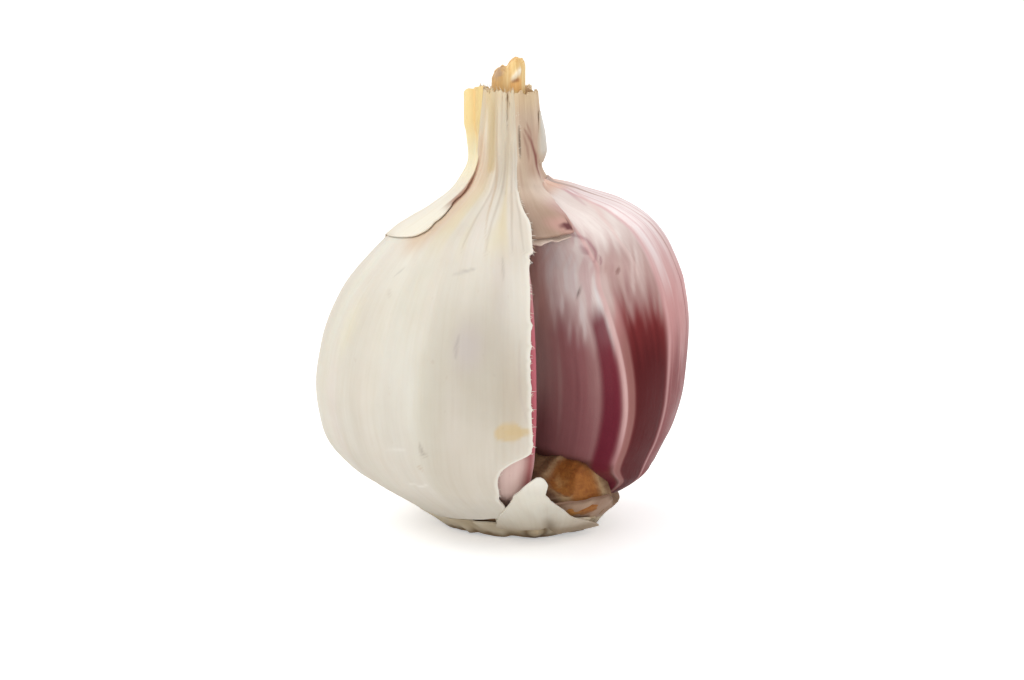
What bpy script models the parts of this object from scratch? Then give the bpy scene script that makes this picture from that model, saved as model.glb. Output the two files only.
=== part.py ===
"""A hardneck garlic bulb with one clove pulled out of its ring.

The bulb stands on the flat, trimmed underside of its basal plate, which is centred on the origin.
+Z is up and the open seat of the missing clove faces -Y. Azimuths are in degrees, 0 at the front
(-Y) and positive towards +X. Outlines are in millimetres and the model is in metres.
"""

import math

import bmesh
import bpy
import numpy as np

MM = 0.001

# Driving dimensions, in millimetres.
NECK_TOP = 67.6
STALK_TOP = 72.3
STALK_RADIUS = 2.5
STALK_SLANT = 1.1
BODY_LEAN = -3.4
NECK_RETURN = 0.9

# Radius of the bulb against height, on its low side (-X) and on its full side (+X).
LOW_SIDE = (
    (0.2, 12.9), (1.6, 14.8), (4.8, 19.0), (9.5, 24.7), (15.8, 28.3), (22.2, 29.4), (28.5, 28.4),
    (36.0, 25.2), (42.0, 20.7), (46.2, 16.3), (49.2, 11.4), (53.0, 7.3), (57.5, 5.4), (63.0, 4.9),
    (70.0, 4.3),
)
FULL_SIDE = (
    (0.2, 12.3), (1.6, 13.9), (4.8, 18.2), (9.5, 23.6), (15.8, 27.3), (22.2, 28.9), (31.0, 29.5),
    (38.0, 28.6), (42.5, 26.8), (46.5, 23.8), (49.6, 18.9), (51.4, 13.2), (53.4, 7.8), (56.5, 5.6),
    (63.0, 4.9), (70.0, 4.2),
)

SKIN = 0.4
FILM = 0.3
GAP = 0.4

# The basal plate: a flat foot, a bevel, a rim and a domed top given as heights and radii.
PLATE_FOOT_RADIUS = 8.0
PLATE_BEVEL = ((11.2, 2.4), (12.8, 3.8))
PLATE_DOME = ((5.4, 13.4), (7.2, 12.0), (9.2, 9.4), (10.7, 6.4), (11.2, 3.4))
PLATE_CROWN = PLATE_DOME[-1][0]

# The cloves stand in a ring round the stalk, and one of them is missing from its seat.
CLOVES = 9
EMPTY_SEAT_EDGES = (10.5, 42.0)
EMPTY_SEAT = sum(EMPTY_SEAT_EDGES) / 2.0
SEAT_ANGLE = (360.0 - EMPTY_SEAT_EDGES[1] + EMPTY_SEAT_EDGES[0]) / CLOVES
CLOVE_BOTTOM = 4.6
CLOVE_TOP = 50.6
CLOVE_TOP_SWING = 0.9
CLOVE_INNER_RADIUS = 4.6
CLOVE_CROWN = 0.7
SHOULDER_ROOM = 0.9

# The outer skin: azimuths of its front torn edge against height, and of its far one at the back.
TORN_EDGE = (
    (3.4, -8.0), (4.8, -7.2), (6.6, -6.4), (11.5, -2.6), (13.2, 2.0), (14.4, 9.4), (18.0, 8.7),
    (28.0, 8.3), (35.0, 8.9), (40.0, 9.8), (45.0, 13.0), (49.5, 17.0), (54.0, 19.5), (70.0, 19.5),
)
FAR_TORN_EDGE = -232.0
OUTER_SKIN_HEM = 3.4
NECK_RAGGED = 0.7

# The inner sheath: a tube round the stalk that flares to its hem over the open side.
SHEATH_RADIUS = 3.3
SHEATH_HEM = 54.0
SHEATH_FLARE_DROP = 6.4
SHEATH_OPEN_SIDE = ((22.0, 34.0), (96.0, 122.0))

# Azimuths of the oldest leaf's front and back edges against height.
TORN_LEAF_HEM = 31.0
TORN_LEAF_CURL = 2.4
TORN_LEAF_FRONT = (
    (30.0, -128.0), (40.0, -104.0), (45.0, -72.0), (47.0, -46.0), (50.0, -52.0), (60.0, -62.0),
    (70.0, -58.0),
)
TORN_LEAF_BACK = (
    (30.0, -152.0), (40.0, -188.0), (47.0, -196.0), (53.0, -150.0), (60.0, -122.0), (70.0, -126.0),
)

COLLAR_HEIGHTS = (0.5, 2.8)
FLAP_HEIGHTS = (3.2, 12.6)
FLAP_LEFT_EDGE = (-5.5, 8.6)
FLAP_RIGHT_EDGE = (38.0, 13.4)
CUP_HEIGHTS = (3.4, 6.0)
CUP_HALF_ANGLE = 13.0
NECK_FILM_HEIGHTS = (56.5, 64.5)
NECK_FILM_EDGES = (64.0, 112.0)

ROOT_STUBS = 12
ROOT_STUB_RADIUS = 0.33
ROOT_STUB_LENGTH = 0.4
ROOT_RING_RADIUS = 9.65
ROOT_HEIGHT = 0.42


def smoothstep(low, high, value):
    """0 below low, 1 above high, and a smooth rise between them."""
    t = min(max((value - low) / (high - low), 0.0), 1.0)
    return t * t * (3.0 - 2.0 * t)


def between(ends, t):
    """The value a part t of the way from the first end to the second."""
    return ends[0] + (ends[1] - ends[0]) * t


def smooth_curve(points):
    """A function that runs smoothly through the points and never overshoots them."""
    xs, ys = np.array(points, float).T
    steps = np.diff(xs)
    rises = np.diff(ys) / steps
    slopes = np.concatenate([rises[:1], np.zeros(len(xs) - 2), rises[-1:]])
    for i in range(1, len(xs) - 1):
        if rises[i - 1] * rises[i] > 0.0:
            slopes[i] = 2.0 * rises[i - 1] * rises[i] / (rises[i - 1] + rises[i])

    def at(x):
        i = int(np.clip(np.searchsorted(xs, x) - 1, 0, len(steps) - 1))
        t = min(max((x - xs[i]) / steps[i], 0.0), 1.0)
        rise = (3.0 - 2.0 * t) * t * t
        bend = steps[i] * t * (1.0 - t) * (slopes[i] * (1.0 - t) - slopes[i + 1] * t)
        return ys[i] + (ys[i + 1] - ys[i]) * rise + bend

    return at


low_side = smooth_curve(LOW_SIDE)
full_side = smooth_curve(FULL_SIDE)


def bulb_radius(azimuth, z):
    """Radius of the bulb's outside about its centre line."""
    full = 0.5 + 0.5 * math.sin(math.radians(azimuth))
    return low_side(z) * (1.0 - full) + full_side(z) * full


def inset_radius(azimuth, z, depth):
    """Radius of the surface that lies depth under the bulb's outside, or over it if depth is negative."""
    slope = bulb_radius(azimuth, z + 0.5) - bulb_radius(azimuth, z - 0.5)
    return bulb_radius(azimuth, z) - depth * math.hypot(1.0, slope)


def plate_radius(z):
    """Radius of the plate's domed top at a height, and 0 above its crown."""
    if z > PLATE_CROWN:
        return 0.0
    dome_heights, dome_radii = zip(*PLATE_DOME)
    return float(np.interp(z, dome_heights, dome_radii))


def centre_x(z):
    """The centre line leans towards -X over the plate and comes part of the way back at the neck."""
    return BODY_LEAN * smoothstep(0.0, 14.0, z) + NECK_RETURN * smoothstep(46.0, 58.0, z)


def place(azimuth, radius, z):
    """A point in metres at an azimuth and a radius about the bulb's centre line."""
    angle = math.radians(azimuth)
    return (
        (centre_x(z) + radius * math.sin(angle)) * MM,
        -radius * math.cos(angle) * MM,
        z * MM,
    )


def heights(bottom, top, count):
    """Heights spaced evenly along the bulb's outline between bottom and top."""
    fine = np.linspace(bottom, top, 120)
    radii = np.array([bulb_radius(0.0, z) for z in fine])
    run = np.concatenate([[0.0], np.cumsum(np.hypot(np.diff(fine), np.diff(radii)))])
    return np.interp(np.linspace(0.0, run[-1], count), run, fine)


def rounded(distance, span):
    """0 at an end and 1 from span on, with a round shoulder between."""
    t = min(distance / span, 1.0)
    return math.sqrt(max(1.0 - (1.0 - t) ** 2.2, 0.0))


def squared(value):
    """A sine or cosine pushed towards 1 and -1, which squares a circle's corners."""
    return math.copysign(abs(value) ** 0.52, value)


def new_material(name, colour, roughness):
    """A Principled material from an sRGB colour of 0 to 255."""
    material = bpy.data.materials.new(name)
    material.use_nodes = True
    shader = material.node_tree.nodes["Principled BSDF"]
    linear = [((c / 255.0 + 0.055) / 1.055) ** 2.4 for c in colour]
    shader.inputs["Base Color"].default_value = (*linear, 1.0)
    shader.inputs["Roughness"].default_value = roughness
    shader.inputs["Metallic"].default_value = 0.0
    material.diffuse_color = (*linear, 1.0)
    return material


def new_object(name, bm, material):
    """An object of the scene from a bmesh, shaded smooth, under the bulb's empty."""
    mesh = bpy.data.meshes.new(name)
    bmesh.ops.recalc_face_normals(bm, faces=bm.faces)
    bm.to_mesh(mesh)
    bm.free()
    mesh.shade_smooth()
    mesh.set_sharp_from_angle(angle=math.radians(50.0))
    mesh.materials.append(material)
    obj = bpy.data.objects.new(name, mesh)
    bpy.context.scene.collection.objects.link(obj)
    obj.parent = bulb
    return obj


def loft(name, rings, material):
    """A closed solid through rings of points. A ring of one point is a pole."""
    bm = bmesh.new()
    layers = [[bm.verts.new(point) for point in ring] for ring in rings]
    for below, above in zip(layers, layers[1:]):
        count = max(len(below), len(above))
        for i in range(count):
            j = (i + 1) % count
            low_pair = [below[i % len(below)], below[j % len(below)]]
            high_pair = [above[j % len(above)], above[i % len(above)]]
            bm.faces.new(list(dict.fromkeys(low_pair + high_pair)))
    for end in (layers[0], layers[-1]):
        if len(end) > 2:
            bm.faces.new(end)
    return new_object(name, bm, material)


def sheet(name, point_at, columns, rows, material, thickness=SKIN, closed=False):
    """A skin of even thickness over point_at(u, v), with u and v from 0 to 1."""
    bm = bmesh.new()
    across = columns if closed else columns + 1
    grid = [
        [bm.verts.new(point_at(i / columns, j / rows)) for i in range(across)]
        for j in range(rows + 1)
    ]
    for j in range(rows):
        for i in range(columns):
            k = (i + 1) % across
            bm.faces.new((grid[j][i], grid[j][k], grid[j + 1][k], grid[j + 1][i]))
    obj = new_object(name, bm, material)
    solidify = obj.modifiers.new("Skin", "SOLIDIFY")
    solidify.thickness = thickness * MM
    solidify.offset = 0.0
    solidify.use_even_offset = True
    return obj


def make_plate():
    """The basal plate: flat trimmed foot, bevelled rim and a domed top that the cloves sit on."""
    dome = [(radius, z) for z, radius in PLATE_DOME]
    outline = [(0.0, 0.0), (PLATE_FOOT_RADIUS, 0.0), *PLATE_BEVEL, *dome, (0.0, PLATE_CROWN)]
    segments = 28
    rings = []
    for radius, z in outline:
        count = 1 if radius == 0.0 else segments
        rings.append([place(360.0 * i / count, radius, z) for i in range(count)])
    return loft("basal_plate", rings, tan)


def make_stalk():
    """The woody flower stalk, slightly oval, cut off on a slant."""
    segments = 14
    rings = []
    for z in np.linspace(PLATE_CROWN + FILM, STALK_TOP, 9):
        ring = []
        for i in range(segments):
            azimuth = 360.0 * i / segments
            side = math.sin(math.radians(azimuth))
            radius = STALK_RADIUS * (1.0 + 0.05 * math.cos(math.radians(2.0 * azimuth)))
            slant = 0.5 * STALK_SLANT * (1.0 - side) * smoothstep(STALK_TOP - 13.0, STALK_TOP, z)
            x, y, height = place(azimuth, radius, z)
            ring.append((x, y, height - slant * MM))
        rings.append(ring)
    return loft("flower_stalk", rings, woody)


def clove_point(azimuth, turn, z, width, depth):
    """A point round a clove's outline at one height: its back follows the skin, its flanks the seat."""
    u = squared(math.cos(turn))
    v = squared(math.sin(turn))
    inner = max(CLOVE_INNER_RADIUS, plate_radius(z - 2.0 * GAP) + 2.0 * GAP)
    under_skin = SKIN + GAP + CLOVE_CROWN * v * v + SHOULDER_ROOM * smoothstep(40.0, 48.0, z)
    outer = inset_radius(azimuth + v * SEAT_ANGLE / 2.0, z, under_skin)
    radius = (inner + outer) / 2.0 + u * depth * (outer - inner) / 2.0
    half_width = radius * math.tan(math.radians(SEAT_ANGLE / 2.0)) - GAP / 2.0
    turned = math.degrees(math.atan(v * width * half_width / radius))
    return place(azimuth + turned, radius, z)


def make_clove(name, azimuth, top):
    """A clove: a wedge with a crowned back that fills its seat between plate, neighbours and skin."""
    segments = 18
    rings = []
    for z in heights(CLOVE_BOTTOM, top, 14):
        width = rounded(z - CLOVE_BOTTOM, 8.0) * rounded(top - z, 6.0)
        depth = rounded(z - CLOVE_BOTTOM, 4.0) * rounded(top - z, 4.0)
        turns = [2.0 * math.pi * i / segments for i in range(segments)]
        ring = [clove_point(azimuth, turn, z, width, depth) for turn in turns]
        if width * depth < 1e-6:
            ring = [tuple(np.mean(ring, axis=0))]
        rings.append(ring)
    return loft(name, rings, clove_red)


def make_cloves():
    """The ring of cloves, which stand taller on the full side."""
    for number in range(1, CLOVES + 1):
        azimuth = EMPTY_SEAT_EDGES[1] + (number - 0.5) * SEAT_ANGLE
        top = CLOVE_TOP + CLOVE_TOP_SWING * math.sin(math.radians(azimuth))
        make_clove(f"clove_{number}", azimuth, top)


def make_outer_skin():
    """The white papery leaf that wraps the front left, the left and the back, up to the neck's top."""
    rows = 26
    levels = heights(OUTER_SKIN_HEM, NECK_TOP, rows + 1)
    torn_edge = smooth_curve(TORN_EDGE)

    def point_at(u, v):
        z = levels[round(v * rows)]
        azimuth = between((FAR_TORN_EDGE, torn_edge(z)), u)
        ragged = NECK_RAGGED * math.sin(math.radians(7.0 * azimuth))
        x, y, height = place(azimuth, inset_radius(azimuth, z, SKIN / 2.0), z)
        return (x, y, height + ragged * smoothstep(NECK_TOP - 2.6, NECK_TOP, z) * MM)

    return sheet("outer_skin", point_at, 34, rows, papery)


def make_inner_sheath():
    """The inner leaf: a tube round the stalk that flares over the open seat and the full-side cloves."""
    start, end = SHEATH_OPEN_SIDE

    def point_at(u, v):
        azimuth = 360.0 * u
        open_side = smoothstep(*start, azimuth) * (1.0 - smoothstep(*end, azimuth))
        hem = SHEATH_HEM - open_side * SHEATH_FLARE_DROP
        z = between((hem, NECK_TOP + SKIN), v**1.5)
        flared = inset_radius(azimuth, z, SKIN / 2.0)
        return place(azimuth, between((SHEATH_RADIUS, flared), open_side), z)

    return sheet("inner_sheath", point_at, 32, 14, sheath_tan, closed=True)


def make_torn_leaf():
    """The oldest leaf: a torn cape over the low and back shoulder, drawn up into a neck strip."""
    rows = 16
    front = smooth_curve(TORN_LEAF_FRONT)
    back = smooth_curve(TORN_LEAF_BACK)
    levels = heights(TORN_LEAF_HEM, NECK_TOP + SKIN, rows + 1)

    def point_at(u, v):
        z = levels[round(v * rows)]
        azimuth = between((front(z), back(z)), u)
        stand_off = GAP + SKIN / 2.0 + TORN_LEAF_CURL * smoothstep(52.0, 66.0, z)
        return place(azimuth, inset_radius(azimuth, z, -stand_off), z)

    return sheet("torn_outer_leaf", point_at, 14, rows, cream)


def make_base_collar():
    """The stub of an older leaf that hugs the plate below the outer skin's hem."""

    def point_at(u, v):
        z = between(COLLAR_HEIGHTS, v)
        return place(360.0 * u, inset_radius(360.0 * u, z, SKIN + GAP), z)

    return sheet("base_collar", point_at, 32, 3, papery, closed=True)


def make_base_flap():
    """A torn tongue of white skin that stands in front of the empty seat."""

    def point_at(u, v):
        z = between(FLAP_HEIGHTS, v)
        azimuth = between((between(FLAP_LEFT_EDGE, v), between(FLAP_RIGHT_EDGE, math.sqrt(v))), u)
        return place(azimuth, inset_radius(azimuth, z, SKIN / 2.0), z)

    return sheet("base_flap", point_at, 9, 6, papery)


def make_base_cup():
    """The stub of an inner leaf on the plate's rim, in the empty seat."""

    def point_at(u, v):
        azimuth = EMPTY_SEAT + CUP_HALF_ANGLE * (2.0 * u - 1.0)
        radius = PLATE_DOME[0][1] + GAP + SKIN / 2.0 + 0.5 * v
        return place(azimuth, radius, between(CUP_HEIGHTS, v))

    return sheet("base_inner_cup", point_at, 8, 3, sheath_tan)


def make_neck_film():
    """A thin loose film on the neck's full side."""

    def point_at(u, v):
        z = between(NECK_FILM_HEIGHTS, v)
        azimuth = between(NECK_FILM_EDGES, u)
        stand_off = GAP + SKIN / 2.0 + 0.6 * math.sin(math.pi * v)
        return place(azimuth, inset_radius(azimuth, z, -stand_off), z)

    return sheet("neck_film", point_at, 5, 6, papery, thickness=FILM)


def make_root_stub(name, azimuth, length, thickness):
    """A trimmed root that points out from under the bevel of the plate's foot, wider than high."""
    segments = 6
    rings = []
    for along in (0.0, 0.5, 1.0):
        radius = ROOT_RING_RADIUS + length * along
        ring = []
        for i in range(segments):
            turn = 2.0 * math.pi * i / segments
            aside = math.degrees(1.6 * thickness * math.cos(turn) / radius)
            taper = 1.0 - 0.25 * along
            z = ROOT_HEIGHT + 0.06 * along + thickness * taper * math.sin(turn)
            ring.append(place(azimuth + aside, radius, z))
        rings.append(ring)
    return loft(name, rings, woody)


def make_root_stubs():
    """The ring of trimmed roots, no two quite alike."""
    for number in range(ROOT_STUBS):
        azimuth = 360.0 * (number + 0.5) / ROOT_STUBS
        length = ROOT_STUB_LENGTH + 0.1 * math.sin(2.4 * number)
        thickness = ROOT_STUB_RADIUS + 0.04 * math.cos(1.7 * number)
        make_root_stub(f"root_stub_{number + 1:02d}", azimuth, length, thickness)


for old in list(bpy.data.objects):
    bpy.data.objects.remove(old, do_unlink=True)

bulb = bpy.data.objects.new("garlic_bulb", None)
bpy.context.scene.collection.objects.link(bulb)

papery = new_material("papery_white", (219, 212, 198), 0.6)
cream = new_material("cream_leaf", (243, 228, 196), 0.6)
sheath_tan = new_material("sheath_tan", (192, 167, 145), 0.65)
clove_red = new_material("clove_red", (150, 84, 86), 0.4)
tan = new_material("plate_tan", (151, 110, 70), 0.8)
woody = new_material("woody_stalk", (212, 165, 100), 0.75)

make_plate()
make_stalk()
make_cloves()
make_outer_skin()
make_inner_sheath()
make_torn_leaf()
make_base_collar()
make_base_flap()
make_base_cup()
make_neck_film()
make_root_stubs()
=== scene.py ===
"""A hardneck garlic bulb with one clove pulled out of its ring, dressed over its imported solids.

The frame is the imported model's: +Z up, the flat foot on the floor at the origin and the open seat
towards -Y. Sizes here are in millimetres and azimuths in degrees, 0 at the front (-Y) and positive
towards +X. Meshes are in metres.
"""

import logging
import math
from dataclasses import asdict, dataclass, field
from enum import Enum

import bpy
import numpy as np
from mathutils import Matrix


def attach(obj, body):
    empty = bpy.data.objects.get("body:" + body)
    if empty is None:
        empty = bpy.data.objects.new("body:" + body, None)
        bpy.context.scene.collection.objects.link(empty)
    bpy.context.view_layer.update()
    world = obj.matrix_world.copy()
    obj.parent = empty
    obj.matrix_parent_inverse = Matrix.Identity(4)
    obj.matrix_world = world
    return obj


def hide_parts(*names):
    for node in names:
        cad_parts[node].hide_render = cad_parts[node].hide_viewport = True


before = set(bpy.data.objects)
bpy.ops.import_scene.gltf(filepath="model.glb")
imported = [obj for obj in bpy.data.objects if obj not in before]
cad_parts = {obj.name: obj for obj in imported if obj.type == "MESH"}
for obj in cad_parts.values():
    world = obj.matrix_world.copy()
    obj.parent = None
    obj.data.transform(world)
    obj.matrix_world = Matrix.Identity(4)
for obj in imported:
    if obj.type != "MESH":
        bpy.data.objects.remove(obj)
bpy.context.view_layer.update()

Array = np.ndarray
Material = bpy.types.Material
Socket = bpy.types.NodeSocket
Path = tuple[tuple[float, float], ...]
Colour = tuple[int, int, int]
log = logging.getLogger("garlic_bulb")

MM = 0.001
BODY = "root"


class Slot(Enum):
    """The record's material slots."""

    OUTER_SKIN = "outer_skin"
    CREAM_LEAF = "cream_leaf"
    INNER_LEAF = "inner_leaf"
    CLOVE_SKIN = "clove_skin"
    BASAL_PLATE = "basal_plate"
    STALK_WOOD = "stalk_wood"


def linear(colour: Colour) -> Array:
    """Turns an sRGB colour of 0 to 255 into three linear values from 0 to 1."""
    return ((np.array(colour) / 255.0 + 0.055) / 1.055) ** 2.4


def ramp(low: float, high: float, value: Array) -> Array:
    """Rises smoothly from 0 to 1.

    Args:
        low: Where the rise starts.
        high: Where it ends.
        value: Where to read it.

    Returns:
        0 below low, 1 above high.
    """
    t = np.clip((np.asarray(value, float) - low) / (high - low), 0.0, 1.0)
    return t * t * (3.0 - 2.0 * t)


def bump(low: float, high: float, soft: float, value: Array) -> Array:
    """Is 1 between two places and 0 outside them.

    Args:
        low: The lower place.
        high: The higher place.
        soft: The width of the change at each.
        value: Where to read it.

    Returns:
        Values from 0 to 1.
    """
    rise = ramp(low - soft, low + soft, value)
    return rise * (1.0 - ramp(high - soft, high + soft, value))


def bell(centre: float, width: float, value: Array) -> Array:
    """Is 1 at a place and falls away smoothly on both sides of it.

    Args:
        centre: The place, or one for each value.
        width: How far from it the result is down to about a third.
        value: Where to read it.

    Returns:
        Values from 0 to 1.
    """
    return np.exp(-(((value - centre) / width) ** 2))


def around(count: int) -> Array:
    """Azimuths once round, in a row of columns."""
    return np.linspace(-180.0, 180.0, count, endpoint=False)[None, :]


def upwards(count: int) -> Array:
    """Shares of a height from 0 to 1, in a column of rows."""
    return np.linspace(0.0, 1.0, count)[:, None]


def added(name: str, data: bpy.types.ID) -> bpy.types.Object:
    """Adds an object to the scene.

    Args:
        name: Its name.
        data: Its mesh, light or camera.

    Returns:
        The object.
    """
    obj = bpy.data.objects.new(name, data)
    bpy.context.scene.collection.objects.link(obj)
    return obj


def store(mesh: bpy.types.Mesh, name: str, values: Array) -> None:
    """Stores a value, a vector or a colour for each vertex.

    Args:
        mesh: The mesh.
        name: The attribute's name.
        values: One, three or four numbers for each vertex.
    """
    kinds = {1: ("FLOAT", "value"), 3: ("FLOAT_VECTOR", "vector"), 4: ("FLOAT_COLOR", "color")}
    kind, key = kinds[values.shape[1]]
    layer = mesh.attributes.new(name, kind, "POINT")
    layer.data.foreach_set(key, values.astype(np.float32).ravel())


def opaque(tone: Array) -> Array:
    """Gives each linear colour an alpha of 1."""
    return np.hstack([tone, np.ones((len(tone), 1))])


class SmoothCurve:
    """A curve through points that never overshoots them."""

    def __init__(self, points: Path) -> None:
        """Fits the slopes.

        Args:
            points: Places and values, in rising order of place.
        """
        self.xs, self.ys = np.array(points, float).T
        self.steps = np.diff(self.xs)
        rises = np.diff(self.ys) / self.steps
        product = rises[:-1] * rises[1:]
        total = np.where(product > 0.0, rises[:-1] + rises[1:], 1.0)
        inner = np.where(product > 0.0, 2.0 * product / total, 0.0)
        self.slopes = np.concatenate([rises[:1], inner, rises[-1:]])

    def __call__(self, x: Array) -> Array:
        """Reads the curve.

        Args:
            x: Places, held to the ends of the curve outside it.

        Returns:
            The values there.
        """
        x = np.asarray(x, float)
        i = np.clip(np.searchsorted(self.xs, x) - 1, 0, len(self.steps) - 1)
        step = self.steps[i]
        t = np.clip((x - self.xs[i]) / step, 0.0, 1.0)
        lean = self.slopes[i] * (1.0 - t) - self.slopes[i + 1] * t
        rise = (3.0 - 2.0 * t) * t * t
        return self.ys[i] + (self.ys[i + 1] - self.ys[i]) * rise + step * t * (1.0 - t) * lean


class Ripple:
    """Smooth random values over two lengths, the same on every run."""

    SIZE = 64

    def __init__(self, seed: int) -> None:
        """Fills the lattice.

        Args:
            seed: Picks the values.
        """
        self.lattice = np.random.default_rng(seed).uniform(-1.0, 1.0, (self.SIZE, self.SIZE))

    def __call__(self, x: Array, y: Array = 0.0) -> Array:
        """Reads the ripple.

        Args:
            x: First length, in ripples.
            y: Second length, in ripples.

        Returns:
            Values from -1 to 1.
        """
        x, y = np.broadcast_arrays(np.asarray(x, float), np.asarray(y, float))
        i, j = np.floor(x).astype(int), np.floor(y).astype(int)
        s, t = ramp(0.0, 1.0, x - i), ramp(0.0, 1.0, y - j)
        i0, i1, j0, j1 = (k % self.SIZE for k in (i, i + 1, j, j + 1))
        near = self.lattice[i0, j0] * (1.0 - s) + self.lattice[i1, j0] * s
        far = self.lattice[i0, j1] * (1.0 - s) + self.lattice[i1, j1] * s
        return near * (1.0 - t) + far * t


@dataclass(frozen=True)
class BulbForm:
    """The bulb's outside: its radius about a leaning centre line, on its low and its full side."""

    low_side: Path = (
        (0.2, 12.9), (1.6, 14.8), (4.8, 19), (9.5, 24.7), (15.8, 28.3), (22.2, 29.4), (28.5, 28.4),
        (36, 25.2), (42, 20.7), (46.2, 16.3), (49.2, 11.4), (53, 7.3), (57.5, 5.4), (63, 4.9),
        (70, 4.3),
    )
    full_side: Path = (
        (0.2, 12.3), (1.6, 13.9), (4.8, 18.2), (9.5, 23.6), (15.8, 27.3), (22.2, 28.9), (31, 29.5),
        (38, 28.6), (42.5, 26.8), (46.5, 23.8), (49.6, 18.9), (51.4, 13.2), (53.4, 7.8), (56.5, 5.6),
        (63, 4.9), (70, 4.2),
    )
    body_lean: float = -3.4
    neck_return: float = 0.9
    flow_radius: float = 18.0
    steepest: float = 3.0
    seat_start: float = 42.0
    seat_angle: float = 36.5

    def radius(self, azimuth: Array, z: Array) -> Array:
        """Radius of the outside.

        Args:
            azimuth: Azimuths.
            z: Heights.

        Returns:
            Radii about the centre line.
        """
        full = 0.5 + 0.5 * np.sin(np.radians(azimuth))
        return SmoothCurve(self.low_side)(z) * (1 - full) + SmoothCurve(self.full_side)(z) * full

    def inset(self, azimuth: Array, z: Array, depth: Array) -> Array:
        """Radius of a surface under the outside.

        Args:
            azimuth: Azimuths.
            z: Heights.
            depth: How far under it lies, along the normal.

        Returns:
            Radii about the centre line.
        """
        z = np.asarray(z, float)
        slope = self.radius(azimuth, z + 0.5) - self.radius(azimuth, z - 0.5)
        return self.radius(azimuth, z) - depth * np.hypot(1, np.minimum(np.abs(slope), self.steepest))

    def centre_x(self, z: Array) -> Array:
        """The centre line's place along X.

        Args:
            z: Heights.

        Returns:
            X at each.
        """
        return self.body_lean * ramp(0, 14, z) + self.neck_return * ramp(46, 58, z)

    def place(self, azimuth: Array, radius: Array, z: Array) -> Array:
        """Points about the centre line.

        Args:
            azimuth: Azimuths.
            radius: Radii.
            z: Heights.

        Returns:
            Points in metres, in a last axis of three.
        """
        azimuth, radius, z = np.broadcast_arrays(azimuth, radius, z)
        angle = np.radians(azimuth)
        x = self.centre_x(z) + radius * np.sin(angle)
        return np.stack([x, -radius * np.cos(angle), z], axis=-1) * MM

    def levels(self, count: int, bottom: float, top: float) -> Array:
        """Shares of the height that step evenly along the outline.

        Args:
            count: How many.
            bottom: The lowest height.
            top: The highest height.

        Returns:
            Values from 0 to 1.
        """
        fine = np.linspace(bottom, top, 400)
        run = self.run(fine)
        share = np.interp(np.linspace(run[0], run[-1], count), run, fine)
        return (share - bottom) / (top - bottom)

    def run(self, z: Array) -> Array:
        """Length of the outline up to a height.

        Args:
            z: Heights.

        Returns:
            Lengths.
        """
        fine = np.linspace(-2, 76, 600)
        radii = self.radius(0, fine)
        length = np.concatenate([[0], np.cumsum(np.hypot(np.diff(fine), np.diff(radii)))])
        return np.interp(z, fine, length)

    def flow(self, azimuth: Array, z: Array) -> Array:
        """Where the fibres run: round the bulb in the first two values and up it in the third.

        Args:
            azimuth: Azimuths.
            z: Heights.

        Returns:
            Three values in millimetres, in a last axis.
        """
        azimuth, z = np.broadcast_arrays(azimuth, z)
        angle = np.radians(azimuth)
        across = self.flow_radius * np.sin(angle), -self.flow_radius * np.cos(angle)
        return np.stack([*across, self.run(z)], axis=-1)


FORM = BulbForm()


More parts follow.
